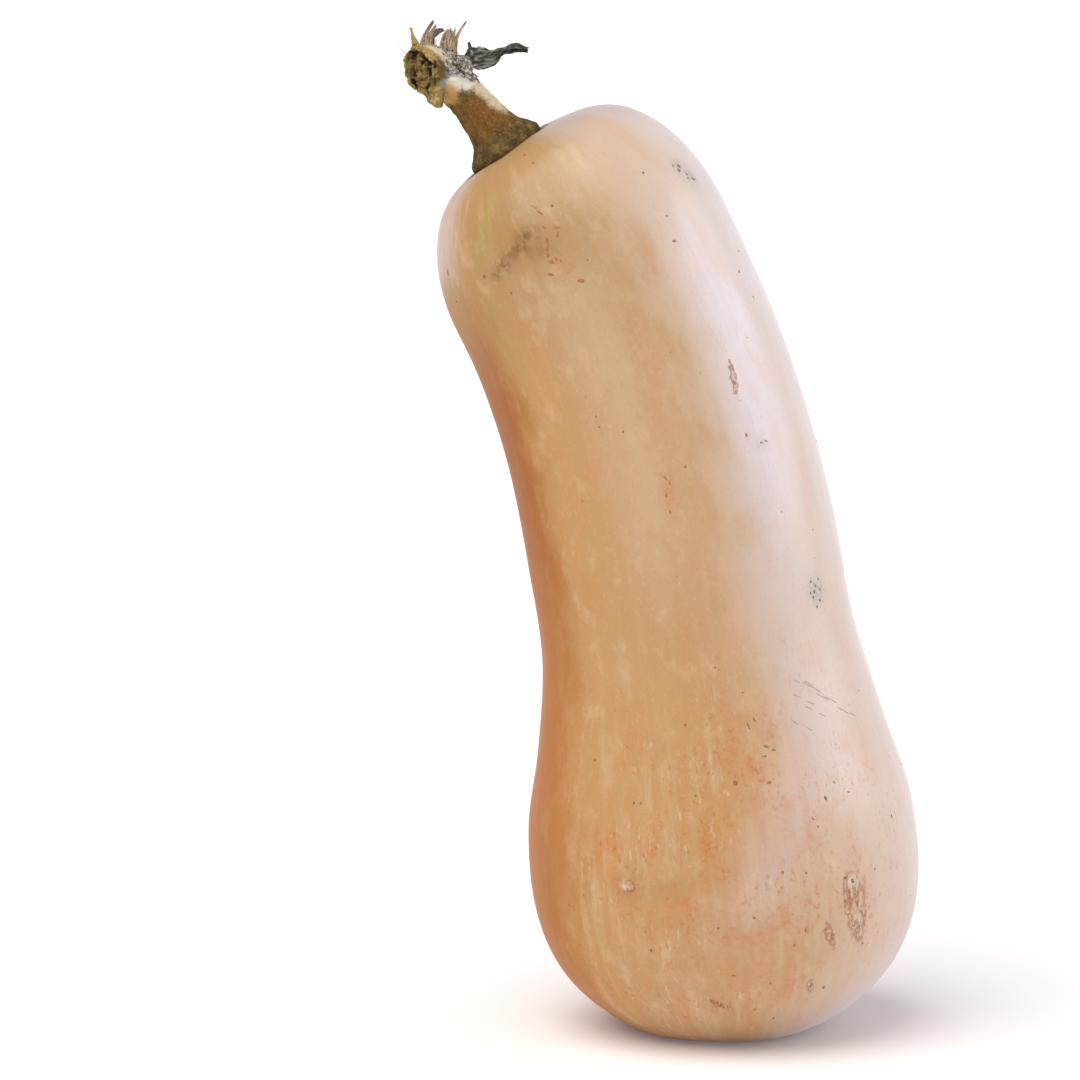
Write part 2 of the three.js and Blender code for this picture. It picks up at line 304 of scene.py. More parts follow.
def light_the_stage():
    """A white studio, darker on the left, with a broad lamp overhead and a window on the right."""
    world = bpy.data.worlds.new("studio")
    bpy.context.scene.world = world
    world.use_nodes = True
    tree = world.node_tree
    tree.nodes.clear()
    place = add_node(tree, "ShaderNodeTexCoord").outputs["Generated"]
    side, _, height = add_node(tree, "ShaderNodeSeparateXYZ", {0: place}).outputs
    spread = {"Value": side, "From Min": -0.7, "From Max": 0.9}
    share = add_node(tree, "ShaderNodeMapRange", spread).outputs[0]
    tone = lay(tree, "#4a3f34", ("#d6d7dd", share), ("#ffffff", (height, 0.24, 0.12)))
    sky = add_node(tree, "ShaderNodeBackground", {"Color": tone, "Strength": 1.0})
    add_node(tree, "ShaderNodeOutputWorld", {"Surface": sky.outputs[0]})
    hang_lamp("window", (0.93, 0.06, 0.36), 1.04, 36, "#e3e8ff", shadow=False)
    hang_lamp("overhead", (-0.38, -0.3, 0.87), 2.66, 62, "#fffbf6")
    bpy.context.scene.view_settings.view_transform = "Standard"


def lay_floor():
    """Matt white paper, swept wide under the squash."""
    constants = {"Base Color": colour("#fcfcfb"), "Roughness": 1.0, "Specular IOR Level": 0.0}
    paper, _, _ = new_material("matt white paper", constants)
    reach = 40 / MM
    corners = [(x * reach, y * reach, 0) for x, y in ((-1, -1), (1, -1), (1, 1), (-1, 1))]
    floor = new_piece("floor", corners, [(0, 1, 2, 3)], paper)


# ---- finishes ----


def new_material(name, constants):
    """A material, its tree and its shader, with the values that are the same all over it."""
    material = bpy.data.materials.new(name)
    material.use_nodes = True
    tree = material.node_tree
    tree.nodes.clear()
    shader = add_node(tree, "ShaderNodeBsdfPrincipled", constants)
    add_node(tree, "ShaderNodeOutputMaterial", {"Surface": shader.outputs[0]})
    return material, tree, shader


def vary(tree, shader, **inputs):
    """Feeds the shader's sockets with what differs from place to place."""
    for name, output in inputs.items():
        tree.links.new(output, shader.inputs[name.replace("_", " ")])


def kept(tree, name, output="Fac"):
    """What a vertex attribute says."""
    return add_node(tree, "ShaderNodeAttribute", attribute_name=name).outputs[output]


def grain(tree, place, size, length=1.0, detail=4.0, rough=0.55, offset=0.0):
    """Noise with features of a size in mm, drawn out along Z."""
    scale = [1 / (size * MM * stretch) for stretch in (1, 1, length)]
    moved = add_node(tree, "ShaderNodeMapping", {"Vector": place, "Location": (offset,) * 3, "Scale": scale})
    inputs = {"Vector": moved.outputs[0], "Scale": 1.0, "Detail": detail, "Roughness": rough}
    return add_node(tree, "ShaderNodeTexNoise", inputs).outputs[0]


def tint(tree, base, code, share):
    """Lays a hex colour over a colour, by a share. The colour below may be a hex colour too."""
    below = colour(base) if isinstance(base, str) else base
    inputs = {0: share, 6: below, 7: colour(code)}
    return add_node(tree, "ShaderNodeMix", inputs, data_type="RGBA").outputs[2]


def lay(tree, tone, *coats):
    """Lays coats of colour over a tone, each given as a hex colour and the factors of its share."""
    for code, *factors in coats:
        tone = tint(tree, tone, code, times(tree, *factors))
    return tone


def relief(tree, *layers, below=None):
    """Bumps over bumps, each given as its height, its strength and its depth in mm."""
    for height, strength, depth in layers:
        inputs = {"Height": height, "Strength": strength, "Distance": depth * MM}
        if below:
            inputs["Normal"] = below
        below = add_node(tree, "ShaderNodeBump", inputs).outputs[0]
    return below


def waxy_rind():
    """Ripe butternut rind: a thin hard skin under a film of wax. It gives a broad, soft shine, an
    even tan colour clouded with orange, and corky marks where it was rubbed or scabbed."""
    constants = {
        "IOR": 1.45, "Coat Roughness": 0.34, "Sheen Roughness": 0.5, "Sheen Tint": colour("#e9e6f6"),
        "Subsurface Weight": 0.1, "Subsurface Radius": (1.0, 0.45, 0.2), "Subsurface Scale": 3 * MM,
    }
    material, tree, shader = new_material("waxy squash rind", constants)
    place = kept(tree, "rind", "Vector")
    beside, front, along = add_node(tree, "ShaderNodeSeparateXYZ", {0: place}).outputs

    # Orange towards the back, with painted shade in dark orange down the left flank and the left of the neck;
    # paler down the right side, partly a creamier skin and partly painted highlight.
    cloud = grain(tree, place, 13, 1.8, 5, 0.6, 7.7)
    off_centre = sum_of(tree, "SUBTRACT", cloud, 0.5)
    drift, rise, sway = [
        sum_of(tree, "MULTIPLY_ADD", off_centre, reach, axis)
        for reach, axis in ((0.05, beside), (0.03, along), (0.016, beside))
    ]
    behind = times(tree, (front, 0.0, -0.035, 0, 0.75), (drift, 0.045, -0.035))
    # Painted shade: dark orange down the left flank, as if in shadow.
    painted_shade_flank = times(tree, (sway, -0.033, -0.049), (front, -0.05, -0.005))
    shaded = times(tree, sum_of(tree, "MAXIMUM", painted_shade_flank, behind), (rise, 0.284, 0.215))
    # Painted shade: the shoulder darkened where the overhead lamp lights it most.
    painted_shade_shoulder = times(tree, (along, 0.21, 0.27), (beside, 0.03, 0.0), (front, -0.01, 0.02))
    centre_streak = close_to(tree, sway, -0.007, 0.018, 0.001)
    # Painted highlight, on a creamier skin: pale down the right side, where the window lamp shines.
    painted_highlight_side = times(tree, (drift, -0.004, 0.04), (along, 0.287, 0.225, 0.75, 1))
    brow = times(tree, (sway, -0.03, -0.047), (rise, 0.248, 0.272))
    # Painted highlight: a lavender band down the right of the neck, where the window's reflection lies.
    off_highlight_band = sum_of(tree, "SUBTRACT", sway, between(tree, along, 0.04, 0.1, 0.004, 0.026))
    band = close_to(tree, off_highlight_band, between(tree, along, 0.13, 0.24, 0, 0.009), 0.016, 0)
    band = times(tree, band, (along, 0.03, 0.06), (along, 0.265, 0.215))
    dull = times(tree, (painted_highlight_side, 0, 1, 1, 0.5), (shaded, 0, 1, 1, 0.1))
    tone = lay(
        tree, "#bc9360",
        # painted shade down the left flank, darker up the neck, over an orange back
        ("#ae6a28", shaded),
        ("#975416", shaded, (along, 0.12, 0.19), 0.6),
        # painted shade on the shoulder, lighter close to the stem
        ("#a98858", painted_shade_shoulder, (along, 0.268, 0.28, 0.8, 0.3)),
        ("#d6bfa0", centre_streak, (along, 0.13, 0.17), (along, 0.262, 0.235), 0.32),
        # painted highlight: pale down the right side
        ("#cebfb0", painted_highlight_side, (along, 0.02, 0.09, 0.3, 0.5)),
        ("#d9cabc", painted_highlight_side, (along, 0.1, 0.2, 0, 0.3)),
        # painted highlight along the right edge of the neck
        ("#d8cdc4", (beside, 0.038, 0.05), (along, 0.15, 0.24), 0.35),
        # painted highlight: the lavender band on the neck
        ("#d6d4e6", band, (along, 0.12, 0.2, 0.22, 0.4)),
    )

    # Clouds 7 to 18 mm across, stripes 3 mm wide down the bulb, freckles in clusters, and pores.
    haze = grain(tree, place, 7, 1.4, 5, 0.62, 2.9)
    stripe = grain(tree, place, 3.2, 11, 4, 0.55, 3.1)
    freckle = grain(tree, place, 1.5, 1.3, 3, 0.6, 6.1)
    dash = grain(tree, place, 1.3, 3.5, 3, 0.6, 16.1)
    pores = grain(tree, place, 0.8, 1.4, 2, 0.5, 1.3)
    patchy = grain(tree, place, 18, 1, 2, 0.5, 4.4)
    lower = between(tree, between(tree, along, 0.13, 0.07), 0, 1, 0.2, 1)
    cluster = times(tree, (patchy, 0.42, 0.58), (along, 0.14, 0.08, 0.12, 1))
    tone = lay(
        tree, tone,
        ("#c8854e", (cloud, 0.47, 0.7, 0, 0.38), dull),
        ("#cfae86", (haze, 0.5, 0.3, 0, 0.45), dull),
        ("#c67a40", (haze, 0.53, 0.7, 0, 0.5), lower, dull),
        ("#d9bd9a", (stripe, 0.5, 0.72, 0, 0.3), lower, dull),
        ("#bd7b46", (stripe, 0.5, 0.3, 0, 0.28), lower, dull),
        ("#b8652c", (freckle, 0.57, 0.69), cluster, 0.6),
        ("#bd7038", (dash, 0.58, 0.7), cluster, 0.5),
        ("#dfcabb", (dash, 0.42, 0.3), cluster, dull, 0.35),
        ("#a4683a", (pores, 0.6, 0.78, 0, 0.22)),
        ("#e6cdb2", (pores, 0.4, 0.22, 0, 0.2), dull),
    )

    # Marks, each broken up by grain of its own.
    speck = grain(tree, place, 1.6, 1, 4, 0.65, 5.5)
    fine = grain(tree, place, 0.8, 1, 4, 0.65, 8.5)
    blotch = grain(tree, place, 2.8, 1, 6, 0.72, 14.0)
    wriggle = grain(tree, place, 2.6, 2.4, 3, 0.6, 12.0)
    flush, smudge, scar = kept(tree, "flush"), kept(tree, "smudge"), kept(tree, "cork")
    smeared = times(tree, smudge, (blotch, 0.38, 0.56))
    torn = sum_of(tree, "MULTIPLY_ADD", sum_of(tree, "SUBTRACT", speck, 0.5), 1.1, scar)
    line = close_to(tree, wriggle, 0.5, 0.04, 0.012)
    tone = lay(
        tree, tone,
        ("#c67a40", flush, (haze, 0.4, 0.62), 0.45),
        ("#b9672e", flush, (freckle, 0.5, 0.64), 0.6),
        ("#a87a42", kept(tree, "stain"), 0.55),
        ("#a9a05a", kept(tree, "green"), 0.6),
        ("#8a6230", smeared, 0.9),
        ("#604a28", smeared, (speck, 0.3, 0.53), 0.55),
        ("#94887c", kept(tree, "grey"), (fine, 0.34, 0.56), 0.85),
        ("#c3915c", (torn, 0.22, 0.5, 0, 0.5)),
        ("#d8c3a8", (fine, 0.5, 0.62), (torn, 0.4, 0.6), 0.6),
        ("#b06c2b", (torn, 0.7, 0.92), 0.9),
        ("#a0622c", (torn, 0.24, 0.34), (torn, 0.5, 0.38), 0.75),
        ("#84501f", line, (torn, 0.3, 0.45), 0.9),
        ("#e3d3bd", kept(tree, "wart"), 0.95),
        # painted shade: a dark line round the stem's foot, where the rind meets it
        ("#33260f", (kept(tree, "contact_shade"), 0.1, 0.9, 0, 0.92)),
    )

    # Wax: none on the far left, thickest on the right, where its bloom shows as a pale sheen.
    rubbed = sum_of(tree, "MAXIMUM", scar, smudge)
    film = between(tree, cloud, 0.3, 0.7, 0.37, 0.45)
    crown = between(tree, along, 0.24, 0.265, 0, 0.4)
    waxed = sum_of(tree, "MAXIMUM", between(tree, beside, -0.046, -0.012), crown)
    bloom = sum_of(tree, "MAXIMUM", painted_highlight_side, brow)
    pitted = relief(tree, (stripe, 0.3, 0.4), (pores, 0.3, 0.15))
    corky = times(tree, (torn, 0.3, 0.5), sum_of(tree, "SUBTRACT", speck, line))
    vary(
        tree, shader,
        Base_Color=tone,
        Roughness=sum_of(tree, "MULTIPLY_ADD", rubbed, 0.3, film),
        Specular_IOR_Level=between(tree, waxed, 0, 1, 0.07, 0.45),
        Coat_Weight=times(tree, waxed, (drift, 0.005, 0.03, 0.35, 0.7)),
        Sheen_Weight=times(tree, (bloom, 0, 1, 0.04, 0.7), (kept(tree, "contact_shade"), 0.0, 0.4, 1, 0)),
        Normal=relief(tree, (corky, 0.7, 0.4), below=pitted),
        Coat_Normal=pitted,
    )
    return material


def dry_stem_wood():
    """A squash stem after months of drying: hard, fibrous and corky, dull all over, olive brown with
    pale specks, cream where the skin has rubbed off, grey where mould has got in."""
    material, tree, shader = new_material("dry squash stem", {"Specular IOR Level": 0.2})
    place = kept(tree, "grain", "Vector")
    spot = add_node(tree, "ShaderNodeTexCoord").outputs["Object"]
    fibre = grain(tree, place, 1.0, 6, 4, 0.6)
    mottle = grain(tree, spot, 2.4, 1, 6, 0.72, 2.0)
    crumb = grain(tree, spot, 0.9, 1, 4, 0.65, 9.0)
    worn = grain(tree, place, 1.7, 2.6, 5, 0.7, 21.0)
    cut, crust = kept(tree, "cut"), kept(tree, "crust")
    tone = lay(
        tree, "#554323",
        ("#7b6132", (mottle, 0.36, 0.64)),
        ("#3f3018", (fibre, 0.5, 0.34, 0, 0.5)),
        ("#875726", kept(tree, "ruddy"), (mottle, 0.66, 0.42), 0.8),
        ("#4a3f24", kept(tree, "foot"), (mottle, 0.68, 0.4), 0.7),
        ("#a98043", (worn, 0.52, 0.68, 0, 0.5)),
        ("#40301a", (worn, 0.45, 0.34, 0, 0.5)),
        ("#c8b07a", (crumb, 0.6, 0.7, 0, 0.65)),
        ("#2c2112", (crumb, 0.42, 0.32, 0, 0.75)),
    )
    off_centre = sum_of(tree, "SUBTRACT", mottle, 0.5)
    for name, code, break_up in (
        # painted highlight: paler on the stem's right side, towards the window lamp
        ("pale", "#d6c7a6", 1.5),
        ("white", "#f0ead9", 1.2),
        ("tan", "#cba060", 0.9),
        ("crust", "#999b8e", 0.9),
        ("mould", "#85888c", 1.0),
        ("cut", "#8e7845", 0.5),
        ("golden", "#a98c50", 0.9),
    ):
        broken = sum_of(tree, "MULTIPLY_ADD", off_centre, break_up, kept(tree, name))
        tone = lay(tree, tone, (code, (broken, 0.2, 0.8, 0, 0.9)))
    tone = lay(
        tree, tone,
        ("#4b3517", (mottle, 0.5, 0.4), cut, 0.85),
        ("#cdbd8a", (mottle, 0.55, 0.64), cut, 0.7),
        ("#efeee4", (crumb, 0.52, 0.6), crust, 0.8),
        ("#3c3730", (crumb, 0.47, 0.38), crust, 0.8),
        # painted shade in the slots and clefts of the cut face
        ("#261d10", (kept(tree, "hollow_shade"), 0.15, 0.75, 0, 0.92)),
    )
    rough = relief(tree, (fibre, 0.5, 0.5), (mottle, 0.7, 1.0), (crumb, 0.7, 0.4))
    vary(tree, shader, Base_Color=tone, Roughness=between(tree, crumb, 0.3, 0.7, 0.7, 0.95), Normal=rough)
    return material


def torn_bark_fibre():
    """The papery skin of a dead vine, torn in strips: long fibres, dull, pinkish tan to brown."""
    constants = {"Roughness": 0.85, "Specular IOR Level": 0.3}
    material, tree, shader = new_material("torn vine bark", constants)
    place = kept(tree, "strip", "Vector")
    fibre = grain(tree, place, 0.5, 14, 4, 0.6)
    patch = grain(tree, place, 2.5, 2, 3, 0.6, 4.0)
    tone = lay(
        tree, "#7f5f40",
        ("#d8c6aa", (fibre, 0.36, 0.62)),
        ("#b3aea6", (patch, 0.48, 0.62, 0, 0.6)),
        ("#5d4632", kept(tree, "tip"), (patch, 0.6, 0.35, 0.2, 0.9)),
        ("#4d4d4c", kept(tree, "ashen"), 0.85),
    )
    vary(tree, shader, Base_Color=tone, Normal=relief(tree, (fibre, 0.6, 0.3)))
    return material


def dead_leaf():
    """A leaf dried to a crisp: slate grey with darker folds, dull, with veins that still stand up."""
    constants = {"Roughness": 0.8, "Specular IOR Level": 0.35}
    material, tree, shader = new_material("dead leaf", constants)
    place = kept(tree, "strip", "Vector")
    vein = grain(tree, place, 0.9, 5, 4, 0.6)
    patch = grain(tree, place, 3, 2, 4, 0.6, 2.0)
    tip = kept(tree, "tip")
    tone = lay(
        tree, "#343530",
        ("#a5a899", (vein, 0.4, 0.68)),
        ("#2e2f29", (patch, 0.46, 0.58), (tip, 0, 0.3, 0.2, 0.8)),
        ("#33322a", (tip, 0.5, 1.0, 0, 0.6)),
    )
    vary(tree, shader, Base_Color=tone, Normal=relief(tree, (vein, 0.7, 0.5)))
    return material


def cork_fleck():
    """A fleck of scar tissue: dull cork, from rusty brown to almost black, or pale in a scratch."""
    material, tree, shader = new_material("corky fleck", {"Roughness": 0.75})
    spot = add_node(tree, "ShaderNodeTexCoord").outputs["Object"]
    crumb = grain(tree, spot, 0.7, detail=3)
    shade = kept(tree, "tone")
    coats = ("#b87c46", (crumb, 0.35, 0.65)), ("#736656", shade), ("#b59d8d", (shade, 1.2, 2))
    vary(tree, shader, Base_Color=lay(tree, "#a2602c", *coats))
    return material


def crumbled_bark():
    """Crumbs of dead vine: papery, dull, from nearly black through brown to bleached grey."""
    constants = {"Roughness": 0.9, "Specular IOR Level": 0.25}
    material, tree, shader = new_material("crumbled bark", constants)
    shade = kept(tree, "tone")
    coats = ("#83683f", (shade, 0.1, 0.45)), ("#7f8284", (shade, 0.45, 0.75)), ("#d3ccc0", (shade, 0.75, 1.0))
    vary(tree, shader, Base_Color=lay(tree, "#3a3127", *coats))
    return material


# ---- the fruit ----


def rind_tree(material):
    """Grows the rind round a row of points, each with its lean and girth, by the rule of the solids."""
    heights = {"Rib_height": "Float", "Lobe_height": "Float", "Swell": "Float"}
    tree, size = new_tree("grow rind", Sides="Int", Ribs="Int", Lobes="Int", **heights)
    spine = size["Geometry"]
    count = add_node(tree, "GeometryNodeAttributeDomainSize", {"Geometry": spine}).outputs["Point Count"]
    seam = sum_of(tree, "ADD", size["Sides"], 1.0)
    square = {"Size X": 1.0, "Size Y": 1.0, "Vertices X": count, "Vertices Y": seam}
    grid = add_node(tree, "GeometryNodeMeshGrid", square)
    flat = add_node(tree, "GeometryNodeInputPosition").outputs[0]
    flat_x, flat_y, _ = add_node(tree, "ShaderNodeSeparateXYZ", {0: flat}).outputs
    last = sum_of(tree, "SUBTRACT", count, 1.0)
    ring = sum_of(tree, "ROUND", times(tree, sum_of(tree, "ADD", flat_x, 0.5), last))
    angle = times(tree, sum_of(tree, "ADD", flat_y, 0.5), 2 * math.pi)

    def on_spine(value, kind="FLOAT"):
        inputs = {"Geometry": spine, "Value": value, "Index": ring}
        return add_node(tree, "GeometryNodeSampleIndex", inputs, data_type=kind).outputs[0]

    centre = on_spine(add_node(tree, "GeometryNodeInputPosition").outputs[0], "FLOAT_VECTOR")
    share, lean, girth = [on_spine(named(tree, name)) for name in ("share", "lean", "girth")]
    cosine, sine = sum_of(tree, "COSINE", angle), sum_of(tree, "SINE", angle)

    def wave(number, phase, height, fade):
        turned = sum_of(tree, "COSINE", sum_of(tree, "MULTIPLY_ADD", angle, number, phase))
        return times(tree, turned, height, fade)

    # Ribs fade out below the neck, and lobes above the bulb.
    ribs = wave(size["Ribs"], 0.4, size["Rib height"], (share, 0.5, 0.92))
    lobes = wave(size["Lobes"], 0.6, size["Lobe height"], (share, 0.45, 0.2))
    side, front = times(tree, cosine, RIND_RADIUS), times(tree, sine, RIND_RADIUS)
    where = xyz(tree, side, front, times(tree, share, FRUIT_LENGTH * MM))
    drawn_out = vector_sum(tree, "MULTIPLY", where, (1, 1, 0.45))
    noise_at = {"Vector": drawn_out, "Scale": 38.0, "Detail": 2.0}
    lumps = add_node(tree, "ShaderNodeTexNoise", noise_at).outputs[0]
    swell = times(tree, sum_of(tree, "MULTIPLY_ADD", lumps, 2.0, -1.0), size["Swell"])
    height = sum_of(tree, "ADD", sum_of(tree, "ADD", ribs, lobes), swell)
    off_pole = sum_of(tree, "MINIMUM", sum_of(tree, "DIVIDE", girth, 0.02), 1.0)
    radius = sum_of(tree, "MULTIPLY_ADD", height, off_pole, girth)

    across = times(tree, radius, cosine)
    sideways = xyz(
        tree,
        times(tree, across, sum_of(tree, "COSINE", lean)),
        times(tree, radius, sine, -1.0),
        times(tree, across, sum_of(tree, "SINE", lean)),
    )
    place = vector_sum(tree, "ADD", centre, sideways)
    rind = {"Geometry": grid.outputs["Mesh"], "Name": "rind", "Value": where}
    marked = add_node(tree, "GeometryNodeStoreNamedAttribute", rind, data_type="FLOAT_VECTOR", domain="POINT")
    moved = add_node(tree, "GeometryNodeSetPosition", {"Geometry": marked.outputs[0], "Position": place})
    closed = add_node(tree, "GeometryNodeMergeByDistance", {"Geometry": moved.outputs[0], "Distance": 2e-6})
    end_tree(tree, closed.outputs[0], material)
    return tree


def grow_fruit(material):
    rings = 21 * (len(FRUIT_OUTLINE) - 1) + 1
    outline = spline(FRUIT_OUTLINE, np.linspace(0, 1, rings))
    height, girth = outline[:, 0] * FRUIT_LENGTH, np.maximum(outline[:, 1], 0)
    x, z, lean = centre_line(BLOSSOM_END, FRUIT_LENGTH, FRUIT_LEANS, height)
    y = BLOSSOM_END[1] + FRUIT_SET_BACK * (height / FRUIT_LENGTH) ** 3
    fruit = new_piece("squash_fruit", np.column_stack([x, y, z]), [], material)
    note(fruit, "share", height / FRUIT_LENGTH)
    note(fruit, "lean", lean)
    note(fruit, "girth", girth * MM)
    sizes = {"Sides": 310, "Ribs": 10, "Lobes": 5}
    sizes |= {"Rib height": 0.25 * MM, "Lobe height": 0.4 * MM, "Swell": 0.22 * MM}
    return run_tree(fruit, rind_tree(material), sizes)


def rind_place(fruit):
    """Each vertex's height along the fruit in mm and its angle in degrees: 0 at +X, 90 at the camera."""
    flat = np.empty(len(fruit.data.vertices) * 3, np.float32)
    fruit.data.attributes["rind"].data.foreach_get("vector", flat)
    flat = flat.reshape(-1, 3)
    return flat[:, 2] / MM, np.degrees(np.arctan2(flat[:, 1], flat[:, 0]))


def seat_at(along, angles, height, angle):
    """The number of the vertex nearest to a height along the fruit and an angle."""
    gap = (angles - angle + 180) % 360 - 180
    return np.argmin((along - height) ** 2 + (gap * MM_PER_DEGREE) ** 2)


def spots(fruit, marks):
    """How strongly each vertex lies in any of the marks, which fade out over a long round each."""
    points, normals = points_of(fruit), normals_of(fruit)
    along, angles = rind_place(fruit)
    total = np.zeros(len(points))
    for height, angle, length, width, turn, strength in marks:
        middle = seat_at(along, angles, height, angle)
        normal = normals[middle]
        side = np.cross(leaning(15), normal)
        side /= np.linalg.norm(side)
        upward = np.cross(normal, side)
        lean = math.radians(turn)
        away = points - points[middle]
        up_part = away @ (upward * math.cos(lean) - side * math.sin(lean))
        side_part = away @ (upward * math.sin(lean) + side * math.cos(lean))
        through = away @ normal / 9
        reach = (2 * up_part / length) ** 2 + (2 * side_part / width) ** 2 + through**2
        total = np.maximum(total, strength * np.exp(-1.1 * reach**1.4))
    return total


# What can be seen on the rind: height along the fruit, angle, length, width, turn and strength.
MARKS = {
    "smudge": (
        (260.8, 107.4, 6, 6, 0, 1), (258.4, 110.5, 4, 7, 0, 0.9), (256.4, 119.5, 6, 6, 0, 0.8),
        (257.6, 114.5, 4, 5, 0, 0.65), (260.4, 102, 6, 6, 0, 0.45), (254.6, 124, 5, 6, 0, 0.5),
        (256, 104.5, 6, 9, 0, 0.35),
    ),
    "stain": (
        (258, 112, 15, 20, -30, 1), (258, 99, 13, 12, 0, 0.7), (60.7, 120, 10, 9, 0, 0.9),
        (60, 108, 8, 16, 0, 0.5), (50, 49.5, 32, 9, 0, 0.45), (276.5, 100, 8, 14, 0, 0.25),
        (42, 58, 20, 10, 0, 0.3),
    ),
    "grey": (
        (255.5, 29, 6, 6, 20, 1), (251.5, 25.5, 6, 5, 20, 0.9), (253.5, 27.5, 12, 9, 25, 0.6),
        (136.8, 38.2, 9, 9, 0, 0.9), (181, 50, 4, 5, 0, 0.5),
    ),
    "flush": (
        (68, 94.5, 12, 9, 0, 0.9), (55.4, 100.5, 8, 7, 0, 0.8), (60.7, 106.5, 9, 7, 0, 0.7),
        (60.7, 120, 14, 12, 0, 0.7), (52, 49, 40, 13, 0, 0.45), (66, 50, 14, 2.4, 6, 0.9),
        (248, 97, 8, 8, 0, 0.6), (78, 72, 16, 8, 0, 0.4), (97, 84, 26, 14, 0, 0.5),
        (104, 70, 16, 10, 0, 0.5), (44, 80, 22, 20, 0, 0.4), (30, 70, 14, 26, 0, 0.4),
        (72, 62, 20, 10, 0, 0.4), (176, 91, 16, 7, 0, 0.5), (214, 84, 30, 10, 8, 0.25),
        (236, 70, 26, 12, 10, 0.2),
    ),
    "green": (
        (271.5, 119.6, 16, 2.2, 4, 1), (268, 127, 14, 4, 0, 0.5),
    ),
    "wart": (
        (60.7, 120.3, 2.4, 2.2, 0, 1), (56.2, 52.6, 3.6, 4.4, 0, 0.8), (45, 50.5, 2.4, 3, 0, 0.45),
    ),
    "cork": (
        (55.4, 51.8, 9, 7.5, 4, 0.72), (50, 51.5, 12, 8.5, 0, 0.75), (44, 50, 11, 8, -3, 0.72),
        (40, 49.2, 7, 5, 0, 0.62), (50.2, 53.4, 11, 3.8, 0, 1.1), (41, 60.5, 12, 4.2, 10, 0.5),
        (199.5, 53, 13, 2.6, -10, 0.6), (60.7, 120, 4.2, 4.2, 0, 0.7), (22.3, 95, 9, 1.9, 40, 0.8),
        (26.5, 64.5, 8, 2.4, 10, 0.5),
    ),
}


def mark_rind(fruit):
    """Presses the blossom end flat, raises the scars, and notes where each kind of mark lies."""
    marked = {name: spots(fruit, marks) for name, marks in MARKS.items()}
    cork, wart = marked.pop("cork"), marked["wart"]
    for name, values in marked.items():
        note(fruit, name, values)
    points, normals = points_of(fruit), normals_of(fruit)
    scarred = cork > 0.05
    lumps = np.array([noise.noise(Vector(p) * 1.1) for p in points[scarred]])
    raised = np.zeros(len(points))
    raised[scarred] = cork[scarred] * (0.25 + 0.3 * lumps)
    points = points + normals * (raised + 0.6 * wart)[:, None]

    # The stem has grown into the rind: a shallow dip round its foot.
    axis = leaning(36)
    away = points - np.array(STEM_FOOT)
    off_axis = np.linalg.norm(away - np.outer(away @ axis, axis), axis=1)
    near = np.linalg.norm(away, axis=1) < 25
    dip = np.where(near, 1 - smooth(off_axis, 9, 14), 0)
    points = points - normals * (0.7 * dip)[:, None]

    # The flat that it stands on, with the ring of the blossom scar pressed into it.
    edge = 0.5
    points[:, 2] = edge * np.logaddexp(0, points[:, 2] / edge) - edge * np.logaddexp(0, -12 / edge)
    from_scar = np.hypot(points[:, 0] - BLOSSOM_END[0], points[:, 1])
    below = points[:, 2] < 1
    ring = np.where(below, np.exp(-(((from_scar - 2.7) / 0.8) ** 2)), 0)
    points[:, 2] = np.maximum(points[:, 2], 0) + 0.7 * ring
    blossom_scar = np.where(below, 1 - smooth(from_scar, 2.5, 5), 0)
    note(fruit, "cork", np.clip(cork + blossom_scar, 0, 1))
    move_points(fruit, points)


